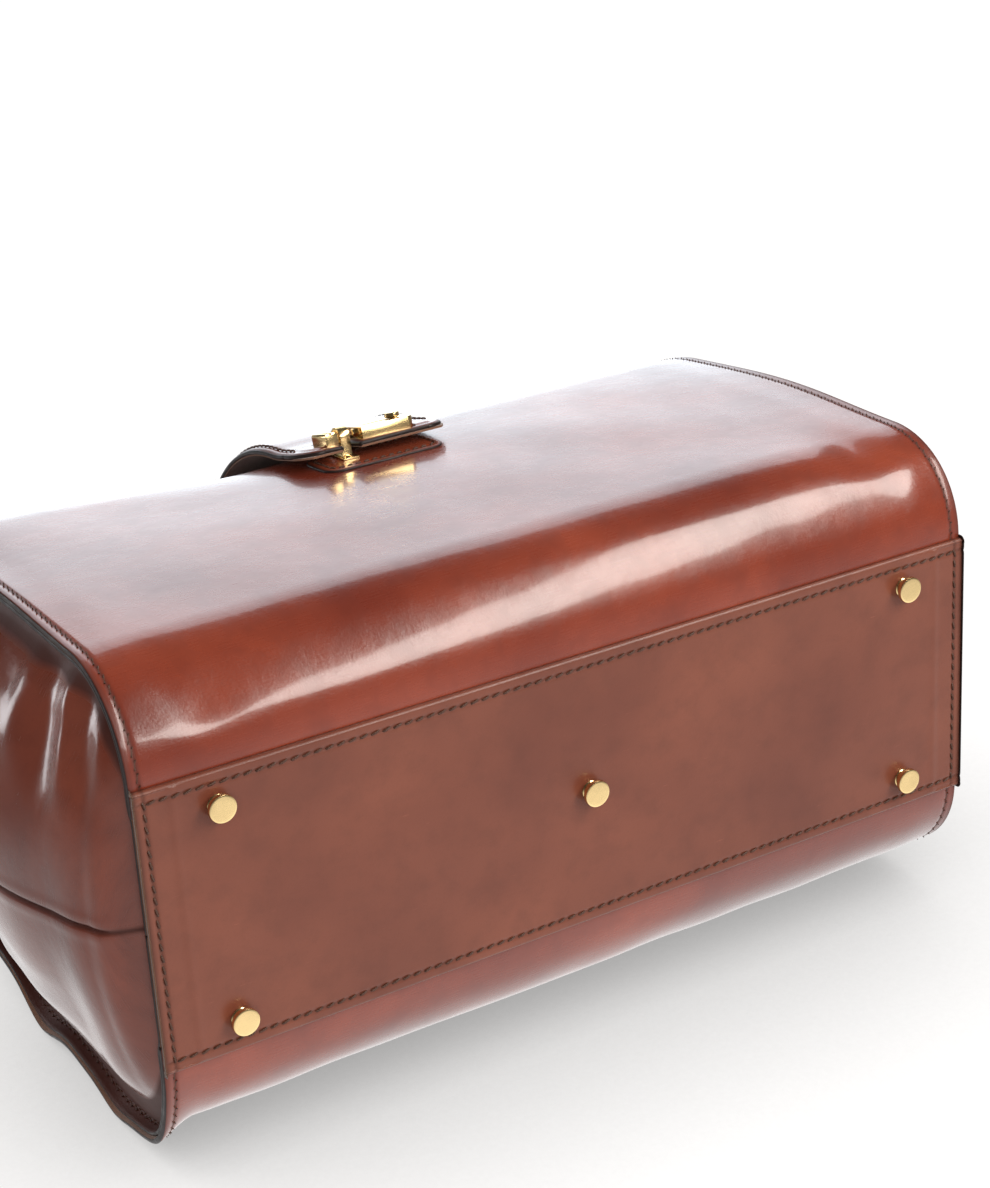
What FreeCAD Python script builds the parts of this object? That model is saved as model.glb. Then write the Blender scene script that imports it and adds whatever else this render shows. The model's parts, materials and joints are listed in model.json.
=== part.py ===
import FreeCAD, Part
import math
import os

from FreeCAD import Placement, Rotation, Vector

# Doctor bag, upright on its five studs.
# Origin: face of the middle stud. +X along the bag, -Y towards the lock, +Z up. Millimetres.

# --- driving dimensions -------------------------------------------------------------------
LENGTH = 400.0          # from one end seam to the other
DEPTH = 208.0           # front wall to rear wall, outside
BASE_DEPTH = 122.0      # flat base, front edge to rear edge
FOOT_HEIGHT = 5.0
WALL_TOP = 203.0        # where the upright walls turn into the shoulders
FRAME_TOP = 281.7       # top of the closed frame
SHOULDER_TOP = 277.0    # where the shoulders meet the frame
SHOULDER_END_Y = 13.0
PIN_HEIGHT = 213.0      # the frame halves turn about pins at this height
LEATHER = 2.5
GUSSET_LEATHER = 1.8
GAP = 0.2               # glue line between two layers

CORNER_RADIUS = 43.0    # rounded lower edges
LEAN_RADIUS = 998.0     # the walls lean inwards on this large radius
LEAN_START = 90.0
TUCK = 11.0             # panel edge tucked under the base panel

STUD_RADIUS = 5.8
STUD_INSET_X = 33.8
STUD_INSET_Y = 14.3
SHANK_RADIUS = 1.5

HANDLE_ARC = 68.9
HANDLE_TOP = 362.0      # centre line of the grip at its highest point
HANDLE_PIVOT = (6.3, 287.2)
GRIP_RADIUS = 9.0
RING_WIRE = 1.6

TAB_WIDTH = 76.0
TAB_LAYER = 2.0
TAB_BACKING = 1.0
TAB_PIVOT = (6.3, 285.6)
TAB_CORNER = 14.0
LOCK_HEIGHT = 180.0     # centre of the lock on the front wall
LOCK_REACH = 2.1        # from the wall's face to the tab's inner face, where the tab starts to stand off
TAB_TILT = 9.0          # how much the tab's end leans away from the wall
TAB_BEND_RADIUS = 60.0
TAB_END = -10.0         # the tab's lower end, down from the bolt's axis
BOLT_OUT = 8.1          # from the lock frame's origin to the bolt's axis

RUNNING = 0.08          # radial clearance of a pin in its bore

HALF_LENGTH = LENGTH / 2
HALF_DEPTH = DEPTH / 2
HALF_BASE = BASE_DEPTH / 2
PANEL_BOTTOM = FOOT_HEIGHT + LEATHER + GAP
SIDES = (-1, 1)


# --- outlines in the YZ plane ---------------------------------------------------------------
def point(y, z, x=0.0):
    return Vector(x, y, z)


def line(start, end):
    return Part.LineSegment(start, end).toShape()


def arc(centre, radius, start, end):
    """Arc in the YZ plane; angles in degrees from +Y towards +Z."""
    spots = []
    for angle in (start, (start + end) / 2, end):
        turn = math.radians(angle)
        spots.append(centre + point(radius * math.cos(turn), radius * math.sin(turn)))
    return Part.Arc(*spots).toShape()


def arc_under(level, wall, lean):
    """Centre and radius of the arc that leaves a leaning wall and ends level at the given height."""
    radius = (level - wall.z) / (1 - math.sin(math.radians(lean)))
    back = point(math.cos(math.radians(lean)), math.sin(math.radians(lean)))
    return wall - back * radius, radius


def wall_y(z):
    """Outer half-depth of the upright wall at height z."""
    if z <= LEAN_START:
        return HALF_DEPTH
    return HALF_DEPTH - LEAN_RADIUS + math.sqrt(LEAN_RADIUS**2 - (z - LEAN_START) ** 2)


def wall_lean(z):
    """How far the wall leans inwards at height z, in degrees."""
    return math.degrees(math.asin((z - LEAN_START) / LEAN_RADIUS))


def wall_edges(start_y):
    """Rear half of the body's outer outline, from the base at start_y up to the wall's top."""
    corner = point(HALF_BASE, PANEL_BOTTOM + CORNER_RADIUS)
    lean_centre = point(HALF_DEPTH - LEAN_RADIUS, LEAN_START)
    return [
        line(point(start_y, PANEL_BOTTOM), point(HALF_BASE, PANEL_BOTTOM)),
        arc(corner, CORNER_RADIUS, -90, 0),
        line(point(HALF_DEPTH, corner.z), point(HALF_DEPTH, LEAN_START)),
        arc(lean_centre, LEAN_RADIUS, 0, wall_lean(WALL_TOP)),
    ]


def mirror_y(shape):
    return shape.mirror(Vector(0, 0, 0), Vector(0, 1, 0))


def mirror_x(shape):
    return shape.mirror(Vector(0, 0, 0), Vector(1, 0, 0))


def panel_wire():
    return Part.Wire(wall_edges(HALF_BASE - TUCK))


def shoulder_wire():
    """Rear shoulder, from the wall's top over to the frame."""
    lean = wall_lean(WALL_TOP)
    centre, radius = arc_under(SHOULDER_TOP, point(wall_y(WALL_TOP), WALL_TOP + GAP), lean)
    level = line(point(centre.y, SHOULDER_TOP), point(SHOULDER_END_Y, SHOULDER_TOP))
    return Part.Wire([arc(centre, radius, lean, 90), level])


def offset(wire, inwards, fill=False):
    """The outline moved inwards, or outwards where negative; with fill, the face swept between."""
    if inwards == 0:
        return wire
    for distance in (inwards, -inwards):
        made = wire.makeOffset2D(distance, 0, fill, True, False)
        grown = made.BoundBox.YMax > wire.BoundBox.YMax + 0.01
        if grown == (inwards < 0):
            return made


def extrude_x(face, low_x, high_x):
    return face.translated(Vector(low_x, 0, 0)).extrude(Vector(high_x - low_x, 0, 0))


def sheet(wire, depth, thickness, low_x, high_x):
    """A layer that lies depth inside the rear outline and is thickness thick."""
    return extrude_x(offset(offset(wire, depth), thickness, fill=True), low_x, high_x)


def box(low, high):
    size = Vector(*high) - Vector(*low)
    return Part.makeBox(size.x, size.y, size.z, Vector(*low))


def rod_x(y, z, radius, low_x, high_x):
    return Part.makeCylinder(radius, high_x - low_x, Vector(low_x, y, z), Vector(1, 0, 0))


def rod_z(x, y, radius, low_z, high_z):
    return Part.makeCylinder(radius, high_z - low_z, Vector(x, y, low_z), Vector(0, 0, 1))


def both_ends(shape):
    return [shape, mirror_x(shape)]


def cut_all(shape, tools):
    for tool in tools:
        shape = shape.cut(tool)
    return shape


# --- base ---------------------------------------------------------------------------------
def stud_places():
    x = HALF_LENGTH - STUD_INSET_X
    y = HALF_BASE - STUD_INSET_Y
    return [(0.0, 0.0)] + [(sx * x, sy * y) for sx in SIDES for sy in SIDES]


BOARD_BOTTOM = PANEL_BOTTOM + LEATHER + GAP
BOARD_TOP = BOARD_BOTTOM + 2.2


def stud_holes():
    return [rod_z(x, y, SHANK_RADIUS + 0.1, FOOT_HEIGHT - 1, BOARD_TOP + 1) for x, y in stud_places()]


def base_panel():
    low = (-HALF_LENGTH, -HALF_BASE, FOOT_HEIGHT)
    high = (HALF_LENGTH, HALF_BASE, FOOT_HEIGHT + LEATHER)
    return cut_all(box(low, high), stud_holes())


BOARD_INSET_X = 14.0
BOARD_INSET_Y = 3.0


def base_board():
    half_x = HALF_LENGTH - BOARD_INSET_X
    half_y = HALF_BASE - BOARD_INSET_Y
    low = (-half_x, -half_y, BOARD_BOTTOM)
    high = (half_x, half_y, BOARD_TOP)
    return cut_all(box(low, high), stud_holes())


def stud(x, y):
    disc_height = 2.2
    disc = rod_z(x, y, STUD_RADIUS, 0, disc_height)
    disc = disc.makeChamfer(0.4, disc.Edges)
    collar = rod_z(x, y, 3.8, disc_height - 0.4, FOOT_HEIGHT)
    shank = rod_z(x, y, SHANK_RADIUS, FOOT_HEIGHT, BOARD_TOP + 1.2)
    return disc.fuse(collar).fuse(shank).removeSplitter()


def stud_washer(x, y):
    bottom = BOARD_TOP + 0.1
    ring = rod_z(x, y, 4.5, bottom, bottom + 0.8)
    return ring.cut(rod_z(x, y, SHANK_RADIUS + 0.05, bottom - 1, bottom + 2))


# --- walls and gussets ----------------------------------------------------------------------
def rear_panel():
    return sheet(panel_wire(), 0, LEATHER, -HALF_LENGTH, HALF_LENGTH)


def rear_shoulder():
    return sheet(shoulder_wire(), 0, LEATHER, -HALF_LENGTH, HALF_LENGTH)


GUSSET_EDGE_X = HALF_LENGTH - 6
# Centre seam of the gusset: height, distance from the bag's middle.
GUSSET_SEAM = [
    (13.2, 194),
    (18, 206),
    (29, 214),
    (50, 221),
    (81, 230),
    (115, 233),
    (150, 226),
    (180, 209),
    (203, 194),
]
RIM_DEPTH = LEATHER + GAP
DOME_DEPTH = RIM_DEPTH + GUSSET_LEATHER + 0.6


def dome_half_depth(z):
    """Half-depth of the gusset's own leather at height z, inside its turned rim."""
    centre_z = PANEL_BOTTOM + CORNER_RADIUS
    if z >= centre_z:
        return wall_y(z) - DOME_DEPTH
    radius = CORNER_RADIUS - DOME_DEPTH
    drop = min(centre_z - z, radius)
    return HALF_BASE + math.sqrt(radius**2 - drop**2)


def gusset_dome():
    rows = []
    for z, seam_x in GUSSET_SEAM:
        bulge = seam_x - GUSSET_EDGE_X
        half = dome_half_depth(z)
        spread = [step / 5 for step in range(-5, 6)]
        rows.append([point(half * t, z, GUSSET_EDGE_X + bulge * (1 - abs(t) ** 2.4)) for t in spread])
    surface = Part.BSplineSurface()
    surface.interpolate(rows)
    return surface.toShape().makeOffsetShape(GUSSET_LEATHER, 0.001, fill=True)


def gusset_rim():
    """The gusset's turned edge, sewn flat under the panels' ends."""
    rear = wall_edges(0)
    wire = Part.Wire([mirror_y(edge) for edge in reversed(rear)] + rear)
    return sheet(wire, RIM_DEPTH, GUSSET_LEATHER, HALF_LENGTH - 8, HALF_LENGTH)


def right_gusset():
    return [gusset_dome(), gusset_rim()]


def gusset_gable():
    """Rear half of the gusset above the pins, under the shoulder."""
    lean = wall_lean(WALL_TOP)
    centre, radius = arc_under(SHOULDER_TOP, point(wall_y(WALL_TOP), WALL_TOP + GAP), lean)
    radius -= RIM_DEPTH + GAP
    bottom = WALL_TOP + 1
    start = math.asin((bottom - centre.z) / radius)
    low = point(centre.y + radius * math.cos(start), bottom)
    high = point(centre.y, centre.z + radius)
    foot = point(0.6, low.z)
    head = point(0.6, high.z)
    outline = [arc(centre, radius, math.degrees(start), 90), line(high, head), line(head, foot), line(foot, low)]
    face = Part.Face(Part.Wire(outline))
    return extrude_x(face, GUSSET_EDGE_X - GUSSET_LEATHER, GUSSET_EDGE_X)


def right_gusset_top():
    gable = gusset_gable()
    return [gable, mirror_y(gable)]


LINING_DEPTH = 6.5
LINING = 1.0
LINING_X = 188.2


def lining():
    rear = wall_edges(0)
    wire = Part.Wire([mirror_y(edge) for edge in reversed(rear)] + rear)
    tube = sheet(wire, LINING_DEPTH, LINING, -LINING_X, LINING_X)
    inner = offset(wire, LINING_DEPTH)
    ends = sorted((v.Point for v in inner.Vertexes), key=lambda p: -p.z)[:2]
    closed = Part.Wire(Part.__sortEdges__(inner.Edges + [line(ends[0], ends[1])]))
    wall = Part.Face(closed).extrude(Vector(LINING, 0, 0))
    shape = tube
    for x in (-LINING_X, LINING_X - LINING):
        shape = shape.fuse(wall.translated(Vector(x, 0, 0)))
    return shape.removeSplitter()


# --- frame ----------------------------------------------------------------------------------
BAR_INNER_Y = 2.3
BAR_OUTER_Y = 10.3
BAR_BOTTOM = 268.0
BAR_TOP = 280.0
COVER = 1.5
ARM = 3.0
FRONT_ARM_X = 175.0
REAR_ARM_X = FRONT_ARM_X + ARM + 0.4
COVER_X = FRONT_ARM_X - 1
PIN_RADIUS = 2.5


def frame_arm(low_x):
    """Flat arm of the rear half, from its bar down to the eye round the pin."""
    outline = [
        point(6.3, PIN_HEIGHT),
        point(BAR_OUTER_Y, BAR_BOTTOM - 6),
        point(BAR_OUTER_Y, BAR_TOP),
        point(BAR_INNER_Y, BAR_TOP),
        point(BAR_INNER_Y, BAR_BOTTOM - 6),
        point(-6.3, PIN_HEIGHT),
    ]
    plate = Part.Face(Part.makePolygon(outline + outline[:1]))
    arm = extrude_x(plate, low_x, low_x + ARM).fuse(rod_x(0, PIN_HEIGHT, 6.3, low_x, low_x + ARM))
    return arm.cut(rod_x(0, PIN_HEIGHT, PIN_RADIUS + RUNNING, low_x - 1, low_x + ARM + 1))


def frame_half(arm_x):
    reach = arm_x + ARM
    frame = box((-reach, BAR_INNER_Y, BAR_BOTTOM), (reach, BAR_OUTER_Y, BAR_TOP))
    for arm in both_ends(frame_arm(arm_x)):
        frame = frame.fuse(arm)
    return frame.removeSplitter()


def frame_cover():
    """Leather sleeve round the rear bar."""
    margin = COVER + GAP
    inner = box((-COVER_X - 1, BAR_INNER_Y - GAP, BAR_BOTTOM - GAP), (COVER_X + 1, BAR_OUTER_Y + GAP, BAR_TOP + GAP))
    outer = box(
        (-COVER_X, BAR_INNER_Y - margin, BAR_BOTTOM - margin),
        (COVER_X, BAR_OUTER_Y + margin, BAR_TOP + margin),
    )
    return outer.cut(inner)


PIN_HEAD_RADIUS = 5.0


def hinge_pin():
    inner_end = FRONT_ARM_X - 2
    outer_start = REAR_ARM_X + ARM + 3.6
    shank = rod_x(0, PIN_HEIGHT, PIN_RADIUS, inner_end, outer_start + 0.2)
    inner_head = rod_x(0, PIN_HEIGHT, PIN_HEAD_RADIUS, inner_end, inner_end + 1.6)
    outer_head = rod_x(0, PIN_HEIGHT, PIN_HEAD_RADIUS, outer_start, outer_start + 1.2)
    return shank.fuse(inner_head).fuse(outer_head).removeSplitter()


def hinge_washer():
    low_x = REAR_ARM_X + ARM + 0.3
    ring = rod_x(0, PIN_HEIGHT, 6, low_x, low_x + 1)
    return ring.cut(rod_x(0, PIN_HEIGHT, PIN_RADIUS + RUNNING, low_x - 1, low_x + 2))


def pin_anchor():
    """Doubled leather patch that ties the pin to the gusset."""
    low_x = REAR_ARM_X + ARM + 1.5
    patch = box((low_x, -11, PIN_HEIGHT - 28), (low_x + 2, 11, PIN_HEIGHT + 9))
    return patch.cut(rod_x(0, PIN_HEIGHT, PIN_RADIUS + 0.05, low_x - 1, low_x + 3))


# --- handle ---------------------------------------------------------------------------------
HANDLE_CENTRE_Z = HANDLE_TOP - HANDLE_ARC
RING_HALF_WIDTH = 11.0
RING_HEIGHT = 17.0
RING_CORNER = 4.0
GRIP_START = 18.0       # degrees up from the level of the arc's centre
RING_X = 68.0


def handle_ring():
    y, bottom = HANDLE_PIVOT
    left, right = RING_X - RING_HALF_WIDTH, RING_X + RING_HALF_WIDTH
    top = bottom + RING_HEIGHT
    corners = [(left, bottom), (right, bottom), (right, top), (left, top)]
    solid = None
    for index, (x, z) in enumerate(corners):
        next_x, next_z = corners[(index + 1) % 4]
        along = Vector(next_x - x, 0, next_z - z)
        length = along.Length - 2 * RING_CORNER
        along.normalize()
        start = Vector(x, y, z) + along * RING_CORNER
        side = Part.makeCylinder(RING_WIRE, length, start, along)
        profile = Part.Face(Part.Wire(Part.makeCircle(RING_WIRE, start + along * length, along)))
        inward = Vector(-along.z, 0, along.x)
        centre = start + along * length + inward * RING_CORNER
        bend = profile.revolve(centre, Vector(0, -1, 0), 90)
        piece = side.fuse(bend)
        solid = piece if solid is None else solid.fuse(piece)
    return solid.removeSplitter()


def handle_arc_solid(outer, inner):
    """A round tube bent along the handle's arc, solid where inner is 0."""
    y = HANDLE_PIVOT[0]
    centre = Vector(0, y, HANDLE_CENTRE_Z)
    start = math.radians(GRIP_START)
    place = centre + Vector(HANDLE_ARC * math.cos(start), 0, HANDLE_ARC * math.sin(start))
    along = Vector(-math.sin(start), 0, math.cos(start))
    face = Part.Face(Part.Wire(Part.makeCircle(outer, place, along)))
    if inner:
        face = face.cut(Part.Face(Part.Wire(Part.makeCircle(inner, place, along))))
    return face.revolve(centre, Vector(0, -1, 0), 180 - 2 * GRIP_START)


def handle_end():
    """Leather loop that joins the grip to its ring."""
    y, pivot_z = HANDLE_PIVOT
    ring_top = pivot_z + RING_HEIGHT
    end = box((RING_X - 6.5, y - 5.5, ring_top - 4.5), (RING_X + 6.5, y + 5.5, ring_top + 7))
    end = end.makeFillet(2.5, [e for e in end.Edges if abs(e.tangentAt(0).x) > 0.9])
    return end.cut(rod_x(y, ring_top, RING_WIRE + 0.1, RING_X - 9, RING_X + 9))


BRACKET_RIVET_X = (RING_X - 10, RING_X + 10)


def bracket_rivet_holes():
    y = HANDLE_PIVOT[0]
    return [rod_z(s * x, y, 1.3, BAR_BOTTOM + 3, FRAME_TOP + 4) for s in SIDES for x in BRACKET_RIVET_X]


def handle_bracket():
    y, z = HANDLE_PIVOT
    bottom = FRAME_TOP + 0.1
    plate = box((RING_X - 13, y - 5, bottom), (RING_X + 13, y + 5, bottom + 1.5))
    plate = plate.makeFillet(3, [e for e in plate.Edges if abs(e.tangentAt(0).z) > 0.9])
    web = box((RING_X - 6.5, y - 2.4, bottom + 1), (RING_X + 6.5, y + 2.4, z))
    barrel = rod_x(y, z, 3.6, RING_X - 6.5, RING_X + 6.5)
    solid = plate.fuse(web).fuse(barrel)
    solid = solid.cut(rod_x(y, z, RING_WIRE + RUNNING, RING_X - 8, RING_X + 8))
    return cut_all(solid, bracket_rivet_holes()).removeSplitter()


def bracket_rivet(x):
    y = HANDLE_PIVOT[0]
    head_bottom = FRAME_TOP + 1.7
    shank = rod_z(x, y, 1.2, BAR_BOTTOM + 4, head_bottom)
    return shank.fuse(rod_z(x, y, 1.9, head_bottom, head_bottom + 0.8)).removeSplitter()


# --- closing tab -----------------------------------------------------------------------------
# Rear-side directions across the wall and across the tab's end; each turns by its lean.
PATCH_LEAN = wall_lean(LOCK_HEIGHT)
LOCK_LEAN = PATCH_LEAN + TAB_TILT


def outward(lean):
    return point(math.cos(math.radians(lean)), math.sin(math.radians(lean)))


def downward(lean):
    return point(math.sin(math.radians(lean)), -math.cos(math.radians(lean)))


PATCH_ORIGIN = point(wall_y(LOCK_HEIGHT), LOCK_HEIGHT)
TAB_BEND_TOP = PATCH_ORIGIN + outward(PATCH_LEAN) * LOCK_REACH - downward(PATCH_LEAN) * (WALL_TOP - LOCK_HEIGHT)
TAB_BEND_CENTRE = TAB_BEND_TOP + outward(PATCH_LEAN) * TAB_BEND_RADIUS
TAB_BEND_END = TAB_BEND_CENTRE - outward(LOCK_LEAN) * TAB_BEND_RADIUS


def lock_origin():
    """The lock frame's origin, such that the bolt lies straight out from the patch's middle."""
    spot = TAB_BEND_END + outward(LOCK_LEAN) * (BOLT_OUT - LOCK_REACH)
    short = (PATCH_ORIGIN - spot).dot(downward(PATCH_LEAN)) / downward(LOCK_LEAN).dot(downward(PATCH_LEAN))
    return TAB_BEND_END + downward(LOCK_LEAN) * short - outward(LOCK_LEAN) * LOCK_REACH


def front_place(origin, lean):
    return Placement(Vector(0, -origin.y, origin.z), Rotation(Vector(1, 0, 0), -lean))


PATCH_PLACE = front_place(PATCH_ORIGIN, PATCH_LEAN)
LOCK_PLACE = front_place(lock_origin(), LOCK_LEAN)
BOLT_REACH = (lock_origin() + outward(LOCK_LEAN) * BOLT_OUT - PATCH_ORIGIN).dot(outward(PATCH_LEAN))


def rear_lock_point(out, up):
    """A point of the lock's own frame, mirrored to the rear outline."""
    spot = LOCK_PLACE.multVec(Vector(0, -out, up))
    return point(-spot.y, spot.z)


def tab_wire(start_y):
    """Inner face of the tab, mirrored to the rear: over the frame, down the shoulder, then off the wall."""
    level = TAB_PIVOT[1] - TAB_BACKING
    centre, radius = arc_under(level, TAB_BEND_TOP, PATCH_LEAN)
    return Part.Wire(
        [
            line(point(start_y, level), point(centre.y, level)),
            arc(centre, radius, 90, PATCH_LEAN),
            arc(TAB_BEND_CENTRE, TAB_BEND_RADIUS, 180 + PATCH_LEAN, 180 + LOCK_LEAN),
            line(TAB_BEND_END, rear_lock_point(LOCK_REACH, TAB_END)),
        ]
    )


def tab_outline(width, corner):
    """Prism along Y that rounds the tab's lower corners."""
    half = width / 2
    bottom = rear_lock_point(LOCK_REACH, TAB_END).z - 3
    prism = box((-half, -150, bottom), (half, 20, 320))
    lower = [e for e in prism.Edges if abs(e.tangentAt(0).y) > 0.9 and e.CenterOfMass.z < bottom + 1]
    return prism.makeFillet(corner, lower)


def lock_box(low, high, place=LOCK_PLACE):
    """Box in the lock's frame: x along the bag, out from the tab, up along the tab."""
    (x0, out0, up0), (x1, out1, up1) = low, high
    shape = box((x0, -out1, up0), (x1, -out0, up1))
    shape.Placement = place.multiply(shape.Placement)
    return shape


def lock_rod_x(out, up, radius, low_x, high_x, place=LOCK_PLACE):
    shape = Part.makeCylinder(radius, high_x - low_x)
    turned = Placement(Vector(low_x, -out, up), Rotation(Vector(0, 1, 0), 90))
    shape.Placement = place.multiply(turned)
    return shape


def lock_rod_out(x, up, radius, low_out, high_out, place=LOCK_PLACE):
    shape = Part.makeCylinder(radius, high_out - low_out)
    turned = Placement(Vector(x, -low_out, up), Rotation(Vector(1, 0, 0), 90))
    shape.Placement = place.multiply(turned)
    return shape


STAPLE_X = -13.0
PATCH_FACE = 1.8
HARDWARE_BACK = LOCK_REACH + TAB_BACKING + TAB_LAYER + 0.1
PLATE_FACE = HARDWARE_BACK + 5.4
RIVET_TOP = HARDWARE_BACK + 2.0
BOLT_RADIUS = 1.9


def notch():
    """Open-ended slot in the tab for the staple."""
    return lock_box((STAPLE_X - 4.6, LOCK_REACH - 3, -20), (STAPLE_X + 4.6, 15, 9.6))


def lock_rivet_places():
    return [(x, up) for x in (-2.5, 17.5) for up in (-6.0, 6.0)] + [(-21.0, -4.5), (-21.0, 4.5)]


def rivet_holes():
    return [lock_rod_out(x, up, 1.05, LOCK_REACH - 1, RIVET_TOP) for x, up in lock_rivet_places()]


def tab_layer(depth, thickness, start_y):
    strip = mirror_y(sheet(tab_wire(start_y), -depth, -thickness, -TAB_WIDTH / 2, TAB_WIDTH / 2))
    return strip.common(tab_outline(TAB_WIDTH, TAB_CORNER)).cut(notch())


def closing_tab():
    y, z = TAB_PIVOT
    half = TAB_WIDTH / 2
    layer = tab_layer(TAB_BACKING, TAB_LAYER, -y).fuse(rod_x(y, z, 3.5, -half, half))
    layer = layer.cut(rod_x(y, z, 1.5 + RUNNING, -half - 1, half + 1))
    return cut_all(layer, rivet_holes()).removeSplitter()


def tab_backing():
    return cut_all(tab_layer(0, TAB_BACKING - 0.05, -2.0), rivet_holes())


def tab_bar():
    """Brass bar on the rear half that the tab is looped round."""
    y, z = TAB_PIVOT
    half = TAB_WIDTH / 2
    bar = rod_x(y, z, 1.5, -half - 4, half + 4)
    for side in SIDES:
        near, far = sorted((side * (half + 0.5), side * (half + 4)))
        bar = bar.fuse(box((near, y - 4, FRAME_TOP + 0.1), (far, y + 4, z + 1)))
        bar = bar.fuse(rod_x(y, z + 0.4, 3.4, near, far))
    return bar.removeSplitter()


# --- lock -----------------------------------------------------------------------------------
def lock_base_patch():
    patch = lock_box((-30, GAP, -20), (30, PATCH_FACE, 8.6), PATCH_PLACE)
    upright = [e for e in patch.Edges if e.Length < LEATHER]
    return cut_all(patch.makeFillet(8, upright), staple_rivet_holes())


def staple_rivet_holes():
    return [lock_rod_out(STAPLE_X, up, 1.05, -4, 4, PATCH_PLACE) for up in (-6.4, 6.4)]


def lock_staple():
    foot_back, foot_face = PATCH_FACE + 0.1, PATCH_FACE + 0.9
    foot = lock_box((STAPLE_X - 4, foot_back, -8.4), (STAPLE_X + 4, foot_face, 8.4), PATCH_PLACE)
    loop = lock_box((STAPLE_X - 2.5, foot_face - 0.2, -4.4), (STAPLE_X + 2.5, BOLT_REACH, 4.4), PATCH_PLACE)
    loop = loop.fuse(lock_rod_x(BOLT_REACH, 0, 4.4, STAPLE_X - 2.5, STAPLE_X + 2.5, PATCH_PLACE))
    loop = loop.cut(lock_rod_x(BOLT_REACH, 0, BOLT_RADIUS + 0.5, STAPLE_X - 5, STAPLE_X + 5, PATCH_PLACE))
    return cut_all(foot.fuse(loop), staple_rivet_holes()).removeSplitter()


def staple_rivet(up):
    head_back = PATCH_FACE + 0.95
    shank = lock_rod_out(STAPLE_X, up, 1.0, -3.4, head_back, PATCH_PLACE)
    head = lock_rod_out(STAPLE_X, up, 1.7, head_back, head_back + 0.6, PATCH_PLACE)
    tail = lock_rod_out(STAPLE_X, up, 2.2, -3.6, -2.7, PATCH_PLACE)
    return shank.fuse(head).fuse(tail).removeSplitter()


def lock_plate():
    """Housing on the tab that the bolt slides in."""
    plate = lock_box((-6, HARDWARE_BACK, -8), (21, PLATE_FACE, 8))
    depth = PLATE_FACE - HARDWARE_BACK
    rounded = [e for e in plate.Edges if e.CenterOfMass.x > 20.9 and abs(e.Length - depth) < 0.1]
    plate = plate.makeFillet(3, rounded)
    plate = plate.cut(lock_rod_x(BOLT_OUT, 0, BOLT_RADIUS + RUNNING, -8, 19.6))
    slot = lock_box((-2.2, BOLT_OUT + 0.8, -1.4), (16.2, PLATE_FACE + 1, 1.4))
    return cut_all(plate.cut(slot), rivet_holes()).removeSplitter()


def lock_keeper():
    """Ribbed block that takes the bolt's tip."""
    rib_out = HARDWARE_BACK + 4.4
    keeper = lock_box((-24, HARDWARE_BACK, -7), (-17.9, rib_out - 0.8, 7))
    for x in (-22.4, -19.5):
        rib = Part.makeCylinder(1.6, 14)
        rib.Placement = LOCK_PLACE.multiply(Placement(Vector(x, -rib_out, -7), Rotation()))
        keeper = keeper.fuse(rib).fuse(lock_box((x - 1.6, rib_out - 1, -7), (x + 1.6, rib_out, 7)))
    keeper = keeper.cut(lock_rod_x(BOLT_OUT, 0, BOLT_RADIUS + 0.4, -22.6, -15))
    return cut_all(keeper, rivet_holes()).removeSplitter()


BOLT_TIP = -7.4
BOLT_END = 18.6
KNOB_X = 14.2


def lock_bolt():
    bolt = lock_rod_x(BOLT_OUT, 0, BOLT_RADIUS, BOLT_TIP, BOLT_END)
    return bolt.cut(lock_rod_out(KNOB_X, 0, 1.05, BOLT_OUT, PLATE_FACE))


def bolt_knob():
    head_back = PLATE_FACE + 0.3
    stem = lock_rod_out(KNOB_X, 0, 1.0, BOLT_OUT + 0.3, head_back + 0.4)
    head = lock_rod_out(KNOB_X, 0, 3.4, head_back, head_back + 2.3)
    head = head.makeFillet(0.6, head.Edges)
    return stem.fuse(head).removeSplitter()


def lock_rivet(x, up):
    return lock_rod_out(x, up, 1.0, LOCK_REACH + 0.1, RIVET_TOP - 0.2)


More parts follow.
